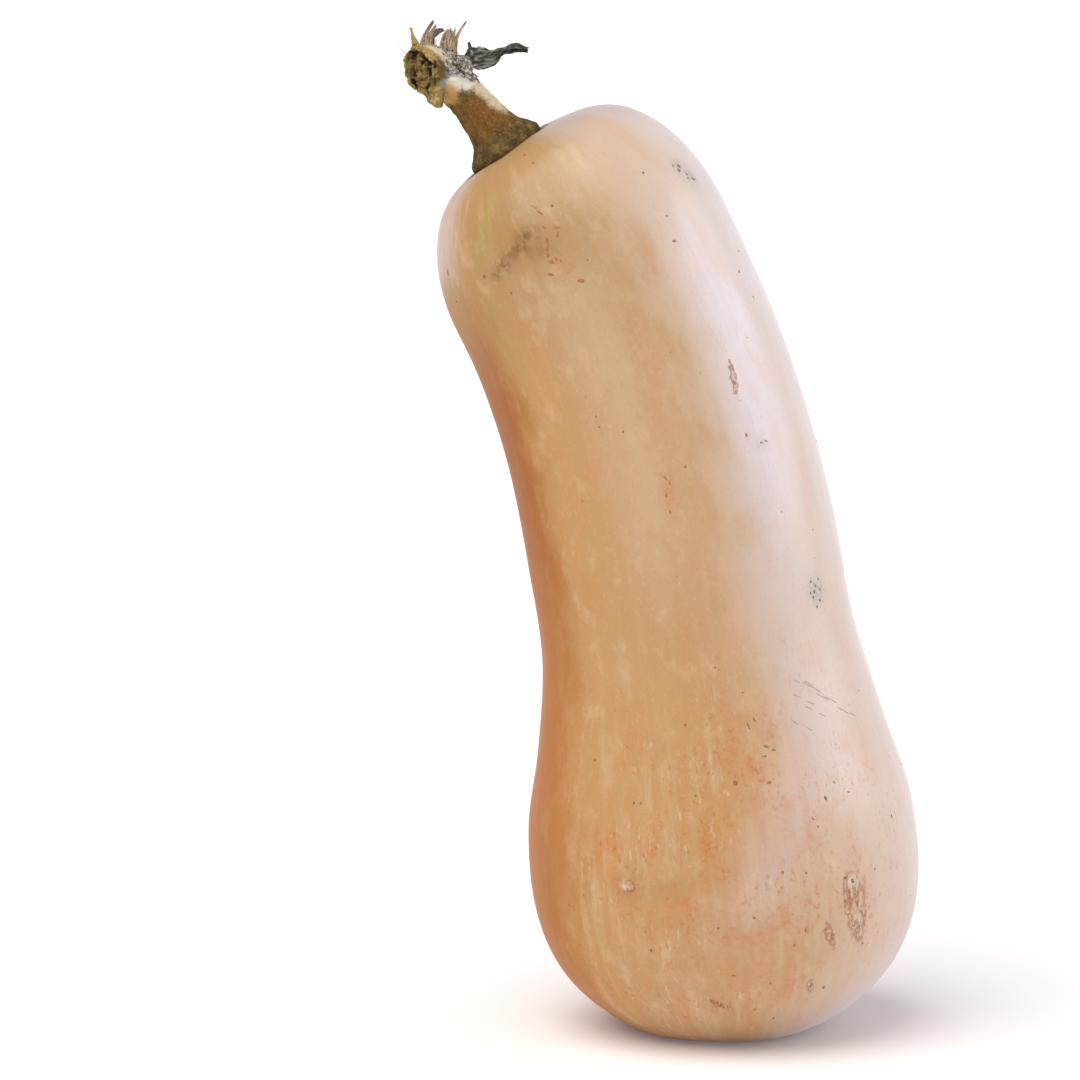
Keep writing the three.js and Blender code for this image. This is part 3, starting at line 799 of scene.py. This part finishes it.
# Flecks: height along the fruit, angle, length, width, turn, and how dark and grey the fleck is.
FLECKS = (
    (257.1, 98.3, 2.8, 0.9, 10, 0.1), (258.8, 93.4, 2.4, 0.7, 80, 0.1), (256.6, 93.6, 2.6, 0.8, -10, 0),
    (251.3, 100.5, 2.2, 1.3, 60, 0.1), (248, 103.5, 2.6, 1, 70, 0), (250.3, 98.4, 1.8, 0.9, 20, 0),
    (242.1, 94.5, 2.6, 1.6, 70, 0.1), (254.4, 99.4, 2, 1, -30, 0.2), (253.2, 101.6, 1.5, 1, 0, 0.3),
    (260.2, 97.5, 1.8, 0.7, 50, 0.1), (267.4, 97.8, 3, 0.5, 50, 0.2), (265, 96.6, 3.2, 0.5, 50, 0.2),
    (249.5, 97, 1.4, 0.9, 0, 0), (256.1, 131.2, 1.4, 1.3, 0, 0.9), (248, 121.5, 0.9, 0.9, 0, 0.4),
    (277.5, 87.8, 1.1, 1, 0, 0.3), (280.7, 90.8, 1.5, 1.2, 0, 0.1), (255.9, 29.4, 1.7, 1.4, 20, 1),
    (254.4, 31.4, 1.5, 1.2, 0, 1), (256.8, 32.5, 1.1, 0.9, 0, 0.9), (251.3, 25.5, 1.9, 1.2, 60, 1),
    (253, 27.4, 1.1, 0.9, 0, 0.9), (251.8, 28.6, 1, 0.8, 0, 0.7), (239.6, 54, 1.9, 1, 80, 0.5),
    (246.8, 51, 0.8, 0.8, 0, 0.7), (223.6, 27, 1.2, 1.1, 0, 0.6), (184.9, 56.2, 1.4, 1, 0, 0.3),
    (181.6, 50, 1.6, 0.6, 70, 0.5), (180.6, 47.2, 1.3, 0.6, 60, 0.5), (261.4, 158.2, 2.2, 0.9, 0, 0.9),
    (179.7, 90.8, 1.9, 0.8, 30, 0.1), (177.1, 89.2, 1.5, 0.7, 0, 0.1), (173.7, 92.2, 1.7, 0.7, -20, 0.1),
    (170.2, 91.5, 1.3, 0.7, 0, 0.1), (140, 36.4, 1.1, 0.9, 0, 0.7), (139.4, 40.6, 1, 0.9, 0, 0.7),
    (138.5, 38.4, 1.2, 1, 0, 0.8), (136.8, 36.2, 1.1, 0.9, 0, 0.7), (136.4, 39.4, 1.4, 1.1, 0, 0.8),
    (135, 41.2, 1, 0.9, 0, 0.6), (134.4, 37.6, 1.2, 1, 0, 0.7), (132.9, 39.6, 1, 0.9, 0, 0.7),
    (137.4, 42, 0.9, 0.8, 0, 0.6), (108, 99, 1.3, 1, 40, 0.3), (106.5, 75, 2.2, 0.6, 20, 0.3),
    (104.5, 78, 2.6, 0.6, 10, 0.4), (97.6, 72.8, 2, 0.8, 60, 0.6), (96.4, 70.8, 1.6, 0.7, 70, 0.3),
    (95, 74, 1.8, 0.6, 80, 0.2), (87.1, 97.5, 1, 1, 0, 0.6), (81.4, 57, 1.7, 1.3, 20, 0.8),
    (85.2, 117.8, 0.9, 0.9, 0, 0.9), (89.6, 84.8, 1.9, 1.7, 0, 0.6), (88.6, 74, 1.8, 1, 80, 0.4),
    (76, 63, 1.6, 0.6, 30, 0.4), (74, 62, 1.4, 0.6, 60, 0.4), (84, 52, 1.3, 0.6, 10, 0.5),
    (80.5, 47.5, 1.5, 0.6, 70, 0.5), (41.7, 114.8, 1.3, 1, 0, 0.9), (47.9, 93.8, 0.9, 0.8, 0, 0.6),
    (24.8, 59.3, 1.3, 1.1, 0, 0.8), (29.2, 79.5, 1, 0.9, 0, 0.4), (60.7, 67.5, 1, 1, 0, 0.7),
    (36, 47, 1, 0.8, 0, 0.8), (70, 28.5, 1.6, 0.9, 0, 0.4), (62, 74, 1.4, 0.9, 0, 0.3),
    (50, 84, 1.5, 0.8, 50, 0.2), (40, 72, 1.2, 0.8, 0, 0.3), (55.8, 52.4, 1.7, 1.3, 20, 1),
    (57.4, 54.6, 1, 1.6, 0, 0.7), (33, 90, 1.6, 0.7, 70, 0.2), (20, 84, 1.4, 0.8, 0, 0.3),
    (16, 76, 1.2, 0.7, 0, 0.5), (44, 68, 1.8, 0.8, 0, 0.2),
)
# Scratches: where each starts and ends, as height along the fruit and angle.
SCRATCHES = (
    (114.5, 56.5, 100.3, 35.2), (112.5, 52.5, 105.5, 43), (109.8, 57.5, 107.6, 53.8),
    (105.8, 55, 103.2, 50.5), (104, 61, 100.5, 57),
)


def fleck_tree(material):
    """Sets a small ragged grain, never two alike, on each of the points that it is given."""
    tree, size = new_tree("set flecks", Thickness="Float", Raggedness="Float", Seed="Int")
    ball = add_node(tree, "GeometryNodeMeshIcoSphere", {"Radius": 0.5, "Subdivisions": 2}).outputs["Mesh"]
    outward, lengthways, spread = [
        named(tree, name, "FLOAT_VECTOR") for name in ("outward", "lengthways", "spread")
    ]
    upright = add_node(tree, "FunctionNodeAlignRotationToVector", {"Vector": outward}, axis="Z").outputs[0]
    aim = {"Rotation": upright, "Vector": lengthways}
    turned = add_node(tree, "FunctionNodeAlignRotationToVector", aim, axis="Y", pivot_axis="Z").outputs[0]
    width, length, _ = add_node(tree, "ShaderNodeSeparateXYZ", {0: spread}).outputs
    scale = xyz(tree, width, length, size["Thickness"])
    seat = {"Points": size["Geometry"], "Instance": ball, "Rotation": turned, "Scale": scale}
    placed = add_node(tree, "GeometryNodeInstanceOnPoints", seat).outputs[0]
    real = add_node(tree, "GeometryNodeRealizeInstances", {"Geometry": placed}).outputs[0]
    where = add_node(tree, "GeometryNodeInputPosition").outputs[0]
    noise_at = {"Vector": where, "W": size["Seed"], "Scale": 1500.0}
    rough = add_node(tree, "ShaderNodeTexNoise", noise_at, noise_dimensions="4D").outputs[1]
    push = {0: vector_sum(tree, "SUBTRACT", rough, (0.5, 0.5, 0.5)), "Scale": size["Raggedness"]}
    shift = add_node(tree, "ShaderNodeVectorMath", push, operation="SCALE").outputs[0]
    ragged = add_node(tree, "GeometryNodeSetPosition", {"Geometry": real, "Offset": shift})
    end_tree(tree, ragged.outputs[0], material)
    return tree


def strew(name, seats, outward, lengthways, spread, tones, look, material):
    """Sets ragged grains on their seats. spread is the width and length of each in mm."""
    grains = new_piece(name, seats, [], material)
    note(grains, "outward", outward)
    note(grains, "lengthways", lengthways)
    note(grains, "spread", np.column_stack([spread, np.zeros(len(spread))]) * MM)
    note(grains, "tone", tones)
    return run_tree(grains, fleck_tree(material), look)


def set_crumbs(stem, material):
    """Strews crumbs over the end of the vine stub, where the vine has fallen apart."""
    rng = np.random.default_rng(8)
    number = 150
    points, normals = points_of(stem), normals_of(stem)
    crust = np.empty(len(points), np.float32)
    stem.data.attributes["crust"].data.foreach_get("value", crust)
    in_front = points[:, 1] < 17
    likely = np.where(in_front, crust, crust * 0.3)
    chosen = rng.choice(len(points), number, replace=False, p=likely / likely.sum())
    outward = normals[chosen] + rng.normal(0, 0.6, (number, 3))
    lengthways = rng.normal(0, 0.8, (number, 3)) + np.array([1.6, 0, -0.5])
    length = rng.uniform(0.8, 1.9, number) * rng.choice((1, 1, 1.8), number)
    width = length * rng.uniform(0.2, 0.6, number)
    look = {"Thickness": 0.3 * MM, "Raggedness": 0.8 * MM, "Seed": 9}
    spread = np.column_stack([width, length])
    tones = rng.random(number)
    return strew("stem_crumbs", points[chosen], outward, lengthways, spread, tones, look, material)


def set_flecks(fruit, material):
    """Sets the named flecks on the rind, and a sprinkling of smaller ones all round it."""
    rng = np.random.default_rng(11)
    rows = list(FLECKS)
    dash_length, dash_width, dash_step, dash_tone, girth = 3.6, 0.4, 2.6, 2, 48
    for first, first_angle, last, last_angle in SCRATCHES:
        rise, round_it = last - first, math.radians(last_angle - first_angle) * girth
        turn = math.degrees(math.atan2(round_it, rise))
        for share in np.linspace(0, 1, max(2, round(math.hypot(rise, round_it) / dash_step))):
            height, angle = first + rise * share, first_angle + (last_angle - first_angle) * share
            rows.append((height, angle, dash_length, dash_width, turn, dash_tone))
    sprinkled = 110
    for _ in range(sprinkled):
        size = rng.uniform(0.45, 1.1)
        place = (rng.uniform(18, 275), rng.uniform(-180, 180))
        shape = (size, size * rng.uniform(0.5, 1), rng.uniform(-60, 60))
        rows.append((*place, *shape, rng.choice((0.1, 0.3, 0.8))))
    points, normals = points_of(fruit), normals_of(fruit)
    along, angles = rind_place(fruit)
    seats = [seat_at(along, angles, height, angle) for height, angle, *_ in rows]
    outward = [Vector(normals[seat]) for seat in seats]
    upward = Vector(leaning(12))
    lengthways = [Matrix.Rotation(math.radians(row[4]), 3, out) @ upward for row, out in zip(rows, outward)]
    spread = [(0.85 * width, 0.85 * length) for _, _, length, width, _, _ in rows]
    tones = [row[5] for row in rows]
    look = {"Thickness": 0.26 * MM, "Raggedness": 0.4 * MM, "Seed": 4}
    return strew("rind_flecks", points[seats], outward, lengthways, spread, tones, look, material)


# ---- the stem ----


def mark_contact(fruit, stem):
    """Notes how near the rind is to the stem, for the painted shade of the dark line where they meet."""
    line_width, fades_by, too_far = 1.0, 4.2, 6
    faces = [tuple(face.vertices) for face in stem.data.polygons]
    skin = BVHTree.FromPolygons(points_of(stem).tolist(), faces)
    gaps = [skin.find_nearest(p, too_far)[3] for p in points_of(fruit).tolist()]
    gaps = np.array([too_far if gap is None else gap for gap in gaps])
    note(fruit, "contact_shade", 1 - smooth(gaps, line_width, fades_by))


def quads(rows, across, closed=True):
    """The quads between rows of points, which close on themselves or not."""
    faces = []
    for i in range(rows - 1):
        for k in range(across if closed else across - 1):
            here, right = i * across + k, i * across + (k + 1) % across
            faces.append((here, right, right + across, here + across))
    return faces


def turned(name, height, radius, sides, place, material):
    """A round with closed ends. place turns its heights, radii and angles into points."""
    angle = np.linspace(0, 2 * math.pi, sides, endpoint=False)
    h, a = np.meshgrid(height, angle, indexing="ij")
    r = np.repeat(np.asarray(radius)[:, None], sides, axis=1)
    points = place(h, r, a).reshape(-1, 3)
    faces = quads(len(height), sides)
    faces.append(tuple(range(sides))[::-1])
    faces.append(tuple(range((len(height) - 1) * sides, len(height) * sides)))
    return new_piece(name, points, faces, material)


def taper(name, start, end, radii, material):
    """A round that tapers from one point to another, with a rounded end."""
    start, end = np.array(start), np.array(end)
    length = np.linalg.norm(end - start)
    turn = np.array(Vector((end - start) / length).to_track_quat("Z", "Y").to_matrix())
    share = np.array([0, 0.2, 0.45, 0.7, 0.9, 0.97, 1])
    first, last = radii
    middle = (first + last) / 2
    radius = np.array([first, first * 0.8 + last * 0.2, middle, last * 1.25, last, last * 0.7, last * 0.1])

    def place(h, r, a):
        return start + np.stack([r * np.cos(a), r * np.sin(a), h], -1) @ turn.T

    return turned(name, share * length, radius, 48, place, material)


def stem_line(heights):
    x, z, lean = centre_line(STEM_FOOT, STEM_LENGTH, STEM_LEANS, heights)
    share = np.asarray(heights) / STEM_LENGTH
    return x, STEM_FOOT[1] + 1.6 * share - 3.4 * share**2, z, lean


def cut_axes():
    """The cut face's own axes: across it, up it and out of it."""
    across = CUT_NORMAL.cross(Vector((0, 0, 1))).normalized()
    upright = across.cross(CUT_NORMAL)
    tilt = Matrix.Rotation(math.radians(CUT_TILT), 3, CUT_NORMAL)
    return np.array([tilt @ across, tilt @ upright, CUT_NORMAL])


def stem_body(material):
    """The stem up to the knot: five ridges that grow stronger on the flared foot, and fine ribs."""
    outline = spline(STEM_OUTLINE, np.linspace(0, 1, 121))

    def place(h, r, a):
        x, y, z, lean = stem_line(h)
        flare = 1 - smooth(h, 3, 14)
        below_knot = 1 - smooth(h, 24, 29)
        ridge = (0.4 + 0.7 * flare) * below_knot * np.minimum(1, r / 5)
        r = r + ridge * np.cos(5 * (a - 0.45)) + 0.25 * below_knot * np.cos(11 * a + 0.2 * h)
        across = r * np.cos(a)
        return np.stack([x + across * np.cos(lean), y - r * np.sin(a), z + across * np.sin(lean)], -1)

    return turned("stem body", outline[:, 0], np.maximum(outline[:, 1], 0.02), 120, place, material)


def knot_body(material):
    """The knot with its stepped cut face, drawn out into a spur at the lower edge."""
    outline = spline(KNOT_OUTLINE, np.linspace(0, 1, 141))
    axes = cut_axes()
    wide, narrow = SPUR_SPREADS

    def place(h, r, a):
        near = smooth(h, -8, -1)
        spread = np.radians(wide + (narrow - wide) * near)
        from_spur = (a + math.pi / 2 - math.radians(SPUR_ANGLE) + math.pi) % (2 * math.pi) - math.pi
        pull = np.exp(-((from_spur / spread) ** 2)) * (r / KNOT_RIM) ** 2
        stretch = 1 + (SPUR_REACH * (0.4 + 0.6 * near) / KNOT_RIM) * pull
        local = np.stack([r * np.cos(a) * CUT_WIDTH_SHARE * stretch, r * np.sin(a) * stretch, h], -1)
        return np.array(CUT_FACE) + local @ axes

    return turned("knot", outline[:, 0], np.maximum(outline[:, 1], 0.02), 140, place, material)


def joined(name, pieces):
    """One object made of several."""
    with bpy.context.temp_override(active_object=pieces[0], selected_editable_objects=pieces):
        bpy.ops.object.join()
    pieces[0].name = name
    return pieces[0]


def rough_noise(points, size, seed, octaves=3):
    """Noise from -1 to 1 at each point, with lumps of a size in mm."""
    shift = Vector((seed, seed * 1.7, seed * 0.3))
    return np.array([noise.fractal(Vector(p) / size + shift, 1.0, 2.0, octaves) for p in points])


def make_stem(material):
    """The stem, the knot, the stub of vine and the thorn, grown together and weathered."""
    middle = np.array(CUT_FACE) - 6 * np.array(CUT_NORMAL)
    parts = [
        stem_body(material),
        knot_body(material),
        taper("stub", middle, VINE_STUB_END, (6.2, 2.6), material),
        taper("thorn", *THORN, material),
    ]
    stem = joined("squash_stem", parts)
    skin = stem.modifiers.new("grow together", "REMESH")
    skin.mode = "VOXEL"
    skin.voxel_size = 0.3 * MM
    ease = stem.modifiers.new("ease", "SMOOTH")
    ease.factor = 0.5
    ease.iterations = 2
    plain_mesh(stem, material)
    weather_stem(stem)
    stem.data.shade_smooth()
    return stem


# Slots and holes that the rings of the cut have opened into: radius, angle, half span, width, depth.
SLOTS = (
    (2.9, 10, 46, 0.55, 1.0), (0.9, 190, 60, 0.7, 1.2), (4.9, 92, 20, 1.0, 1.8), (5.1, 150, 34, 0.5, 0.9),
    (4.6, 208, 30, 0.55, 1.0), (5.2, -35, 30, 0.5, 0.8), (5.4, 262, 18, 0.6, 0.9), (3.1, 150, 22, 0.5, 0.8),
    (6.6, 178, 9, 0.9, 1.4), (6.4, 222, 7, 0.7, 1.2),
)
# Patches of another colour on the knot: strength, middle and reach.
STEM_PATCHES = {
    "white": ((1.2, (-79.6, 9, 284.8), (3, 6, 3.2)), (1, (-76.4, 9, 285), (3.2, 6, 2.8))),
    "tan": ((1.4, (-82.8, 6, 281.2), (4.6, 8, 3.8)),),
    "mould": ((1.2, (-79.8, 8.5, 288.2), (2.8, 4, 1.5)), (0.96, (-83.2, 5.5, 284.4), (1.2, 4, 2.2))),
}


def weather_stem(stem):
    """Roughens the stem, opens the cut face, and notes where each kind of bark lies."""
    points, normals = points_of(stem), normals_of(stem)
    heights = np.linspace(0, STEM_LENGTH, 100)
    x, y, z, lean = stem_line(heights)
    line = np.column_stack([x, y, z])
    nearest = np.array([np.argmin(((line - p) ** 2).sum(1)) for p in points])
    away = points - line[nearest]
    height = heights[nearest]
    beside = away[:, 0] * np.cos(lean[nearest]) + away[:, 2] * np.sin(lean[nearest])
    angle = np.arctan2(-away[:, 1], beside)
    note(stem, "grain", np.column_stack([6 * np.cos(angle), 6 * np.sin(angle), height]) * MM)

    local = (points - np.array(CUT_FACE)) @ cut_axes().T
    radius = np.hypot(local[:, 0] / CUT_WIDTH_SHARE, local[:, 1])
    turn = np.degrees(np.arctan2(local[:, 1], local[:, 0]))
    facing = normals @ np.array(CUT_NORMAL)
    cut = smooth(local[:, 2], -3, -1.6) * (1 - smooth(radius, 7.4, 8.6)) * smooth(facing, -0.3, 0.2)
    spur = smooth(local[:, 2], -5, -3) * smooth(-local[:, 1], 6.5, 8.5) * (np.abs(local[:, 0]) < 5)
    cut = np.maximum(cut, spur)

    warp = rough_noise(points, 2.6, 4.4, 2)
    bent = radius + 0.9 * warp
    slots = np.zeros(len(points))
    for at, centre, span, width, depth in SLOTS:
        bend = (turn + 14 * warp - centre + 180) % 360 - 180
        here = np.exp(-(((bent - at) / width) ** 2)) * (1 - smooth(np.abs(bend), span * 0.6, span))
        slots = np.maximum(slots, here * depth)
    slots *= smooth(local[:, 2], -3.5, -1)
    crumbs = rough_noise(points, 1.3, 3.3)
    lumps = rough_noise(points, 3.4, 8.1, 2)
    knobs = rough_noise(points, 2.1, 5.7, 2)
    cells = [noise.voronoi(Vector(p) / 3.6)[0] for p in points]
    gap = np.array([second - first for first, second, *_ in cells]) + 0.12 * crumbs
    cleft = (1 - smooth(gap, 0.0, 0.2)) * smooth(local[:, 2], -4, -1.5) * cut * (1 - spur)

    stub_axis = np.array(VINE_STUB_END) - np.array(CUT_FACE)
    stub_share = ((points - np.array(CUT_FACE)) @ stub_axis) / (stub_axis @ stub_axis)
    above = smooth(points[:, 2] + 0.35 * (points[:, 0] + 80), 286.4, 288.6)
    crust = smooth(stub_share, 0.34, 0.6) * above
    push = 0.2 * crumbs + 0.35 * lumps * smooth(height, 3, 30) + 0.7 * crust * crumbs
    push += cut * (0.2 + 0.45 * knobs) - 0.4 * cleft - 0.9 * slots
    push += (1 - smooth(height, 0, 6)) * 0.35 * lumps
    move_points(stem, points + normals * push[:, None])

    note(stem, "cut", cut)
    # Where painted shade darkens the slots and clefts of the cut.
    note(stem, "hollow_shade", np.clip(slots + 0.45 * cleft, 0, 1))
    note(stem, "crust", crust)
    rim = smooth(local[:, 2], -5, -1.5) * smooth(radius, 5.6, 7) * (1 - spur) * smooth(local[:, 1], -3, 2)
    note(stem, "golden", np.clip(np.maximum(rim, smooth(points[:, 2], 295, 296.5)), 0, 1))
    # Painted highlight: the stem's side that faces the window lamp is paler.
    note(stem, "pale", smooth(np.cos(angle), 0.2, 1.0) * smooth(height, 7, 18))
    waist = smooth(height, 7, 12) * (1 - smooth(height, 21, 26))
    note(stem, "ruddy", waist * smooth(np.sin(angle), 0.2, 0.8))
    note(stem, "foot", 1 - smooth(height, 4, 11))
    for name, patches in STEM_PATCHES.items():
        total = np.zeros(len(points))
        for strength, middle, reach in patches:
            total = np.maximum(total, strength * np.exp(-(((points - np.array(middle)) / reach) ** 2).sum(1)))
        note(stem, name, np.clip(total, 0, 1))


# ---- dry strips: the torn bark and the leaf ----


def dry_strip(name, path, widths, twists, rolls, ragged, seed, size, thickness, material):
    """A thin strip of dry tissue along a path. rolls says how far round its edges curl, in degrees,
    and ragged how far its far end is torn back, as a share of its length."""
    steps, across = size
    u = np.linspace(-0.5, 0.5, across)
    tear = np.array([noise.noise(Vector((seed, v * 9, 0.3))) for v in u]) * 0.5 + 0.5
    tear += 0.35 * np.array([noise.noise(Vector((seed, v * 31, 5.3))) for v in u])
    ends = 1 - ragged * np.clip(tear, 0, 1)
    points, rows = [], []
    for i in range(steps):
        share = i / (steps - 1) * ends
        middle = spline(path, share)
        ahead = spline(path, share + 0.01) - spline(path, share - 0.01)
        width = spline(widths, share)[:, 0]
        twist = np.radians(spline(twists, share)[:, 0])
        roll = np.radians(spline(rolls, share)[:, 0]) + 1e-4
        for k in range(across):
            along = Vector(ahead[k]).normalized()
            side = Matrix.Rotation(twist[k], 3, along) @ Vector((0, -1, 0)).cross(along).normalized()
            face = along.cross(side)
            bend = roll[k] * u[k]
            reach = width[k] / roll[k]
            wobble = noise.noise(Vector((share[k] * 7, u[k] * 3, seed)))
            lift = reach * (1 - math.cos(bend)) + 0.09 * width[k] * wobble
            edge = 1 + 0.12 * noise.noise(Vector((share[k] * 16, math.copysign(2, u[k]), seed)))
            points.append(Vector(middle[k]) + side * (reach * math.sin(bend) * edge) + face * lift)
            rows.append((u[k] * width[k], seed * 3, share[k] * 20))
    strip = new_piece(name, [tuple(p) for p in points], quads(steps, across, closed=False), material)
    note(strip, "strip", np.array(rows) * MM)
    note(strip, "tip", smooth(np.array(rows)[:, 2], 8, 20))
    wall = strip.modifiers.new("wall", "SOLIDIFY")
    wall.thickness = thickness * MM
    wall.offset = 0
    return plain_mesh(strip)


def make_leaf(material):
    """The shrivelled leaf, with the spike that stands up at its root."""
    leaf = dry_strip(
        "squash_leaf", LEAF_PATH, (2, 6.4, 7, 6.4, 4, 3.6, 6.4, 3.4), (0, 0, 8, 20, 40, 60, 30, 50),
        (40, 60, 70, 80, 150, 250, 290, 300), 0.05, 5.1, (110, 30), 0.5, material,
    )
    spike = dry_strip(
        "spike", ((-74.4, 14.6, 291), (-74.8, 14.4, 294), (-75.4, 14.2, 297)), (1.8, 1.4, 0.5), (0, 10, 30),
        (60, 60, 60), 0.1, 2.2, (24, 8), 0.5, material,
    )
    points = points_of(leaf)
    crumple = rough_noise(points, 2.2, 6.6, 3)
    creases = np.abs(rough_noise(points, 4.0, 1.2, 2))
    points[:, 1] += 0.5 * crumple - 0.9 * creases
    points[:, 2] += 0.2 * crumple
    move_points(leaf, points)
    leaf = joined("squash_leaf", [leaf, spike])
    leaf.data.shade_smooth()
    return leaf


# Strips of bark: name, path, widths, twists, curl, raggedness of the end, seed, and whether it is ashen.
BARK_STRIPS = (
    (
        "band", ((-89.8, 11.8, 294.6), (-86.8, 12.4, 295), (-83.6, 13.2, 294), (-79.4, 14.4, 292.6)),
        (1.6, 2.4, 2.6, 2), (0, 0, 0, 0), 60, 0.02, 1.1, 0,
    ),
    (
        "strip a", ((-89.1, 12.5, 294.6), (-89, 12.5, 297.2), (-88, 12.2, 299.8), (-85.5, 11.4, 303.7)),
        (1.6, 1.6, 1.3, 0.8), (0, 0, 15, 40), 70, 0.18, 2.7, 0,
    ),
    (
        "strip b", ((-87.6, 12.5, 294.6), (-87.4, 12.5, 297.2), (-86.8, 12.2, 299.2), (-85, 11.6, 302.4)),
        (1.6, 1.5, 1.4, 0.8), (0, 0, 25, 60), 70, 0.25, 4.2, 0,
    ),
    (
        "ashen", ((-86, 13.1, 295), (-86, 13.6, 298), (-84.8, 14.4, 299.6), (-82.7, 15.2, 300.3)),
        (1.2, 1, 2.2, 1.6), (0, -10, -30, -60), 120, 0.12, 9.4, 1,
    ),
    (
        "strip c", ((-82.8, 13.6, 293.4), (-82.8, 13.6, 296.4), (-82, 13.2, 298.8), (-80.8, 12.4, 301)),
        (2.8, 2.6, 2.4, 1.4), (0, 0, 10, 25), 60, 0.2, 6.3, 0,
    ),
    (
        "strip d", ((-81, 13.8, 293.4), (-80.9, 13.8, 296.2), (-80.3, 13.6, 298.6), (-79.4, 13.2, 301.2)),
        (2.4, 2, 1.6, 0.8), (0, 0, -10, -25), 60, 0.3, 7.9, 0,
    ),
    (
        "strand", ((-79.9, 14.3, 293), (-79.3, 14.5, 296.4), (-78.6, 15.2, 299), (-76.1, 16.4, 303)),
        (1.8, 1.2, 0.9, 0.5), (0, 0, -20, -50), 90, 0.1, 3.8, 0,
    ),
)


def make_bark(material):
    """The band along the root of the tear and the strips that stand up from it."""
    strips = []
    for name, path, widths, twists, roll, ragged, seed, ashen in BARK_STRIPS:
        strip = dry_strip(name, path, widths, twists, (roll,) * 4, ragged, seed, (40, 14), 0.35, material)
        note(strip, "ashen", np.full(len(strip.data.vertices), float(ashen)))
        strips.append(strip)
    bark = joined("squash_bark", strips)
    bark.data.shade_smooth()
    return bark


def fibre_tree(material):
    """Gives each line that it is given a thickness that thins out to its tip."""
    tree, size = new_tree("spin fibres", Thickness="Float", Sides="Int")
    curve = add_node(tree, "GeometryNodeMeshToCurve", {"Mesh": size["Geometry"]}).outputs[0]
    along = add_node(tree, "GeometryNodeSplineParameter").outputs["Factor"]
    girth = times(tree, (along, 0.2, 1.0, 1.0, 0.25), size["Thickness"])
    section = add_node(tree, "GeometryNodeCurvePrimitiveCircle", {"Resolution": size["Sides"], "Radius": 1.0})
    inputs = {"Curve": curve, "Profile Curve": section.outputs[0], "Scale": girth, "Fill Caps": True}
    mesh = add_node(tree, "GeometryNodeCurveToMesh", inputs)
    end_tree(tree, mesh.outputs[0], material)
    return tree


def spin_fibres(material):
    """Loose fibres of the torn bark, and the hair on the knot's left edge."""
    rng = np.random.default_rng(3)
    lines = [
        ((-94, 7.5, 293.6), (-95.6, 7.2, 295.2), (-96.9, 7, 296.9)),
        ((-79.6, 14.6, 298), (-79.4, 14.8, 300.6), (-79.2, 15, 303.4)),
        ((-80.2, 14, 300.4), (-81.4, 14.2, 301.4), (-82.6, 14.2, 302.6)),
        ((-81.6, 13.6, 299.6), (-82.6, 13.4, 300.4), (-83, 13.2, 301.2)),
    ]
    loose, steps = 14, 12
    for _ in range(loose):
        share = rng.random()
        root = np.array((-89 + 9.5 * share, 12.4 + 1.6 * share, 294.8 - 1.6 * share))
        lift = rng.uniform(2.5, 7)
        lean = rng.uniform(-0.5, 0.9)
        middle = root + (lean * 0.3 * lift, rng.uniform(-0.6, 0.6), lift * 0.55)
        lines.append((root, middle, root + (lean * lift * 0.8, rng.uniform(-1.5, 1.5), lift)))
    points, edges = [], []
    for line in lines:
        first = len(points)
        points.extend(spline(line, np.linspace(0, 1, steps)).tolist())
        edges.extend((first + i, first + i + 1) for i in range(steps - 1))
    fibres = new_piece("bark_fibres", points, [], material, edges)
    return run_tree(fibres, fibre_tree(material), {"Thickness": 0.11 * MM, "Sides": 6})


# ---- the whole ----


def carry(piece, slot, *nodes):
    """Ties a piece to the part's root body and hides the solids that it stands for. Its slot is not used."""
    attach(piece, "root")
    if nodes:
        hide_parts(*nodes)


set_camera()
light_the_stage()
lay_floor()

rind = waxy_rind()
fruit = grow_fruit(rind)
mark_rind(fruit)
carry(fruit, "rind", "fruit")

cork = cork_fleck()
carry(set_flecks(fruit, cork), "rind")

wood = dry_stem_wood()
stem = make_stem(wood)
mark_contact(fruit, stem)
carry(stem, "dry_stem", "stem")
carry(set_crumbs(stem, crumbled_bark()), "dry_stem")

bark = torn_bark_fibre()
carry(make_bark(bark), "torn_bark", "torn_bark")
carry(spin_fibres(bark), "torn_bark")

leaf = dead_leaf()
carry(make_leaf(leaf), "dried_leaf", "dried_leaf")
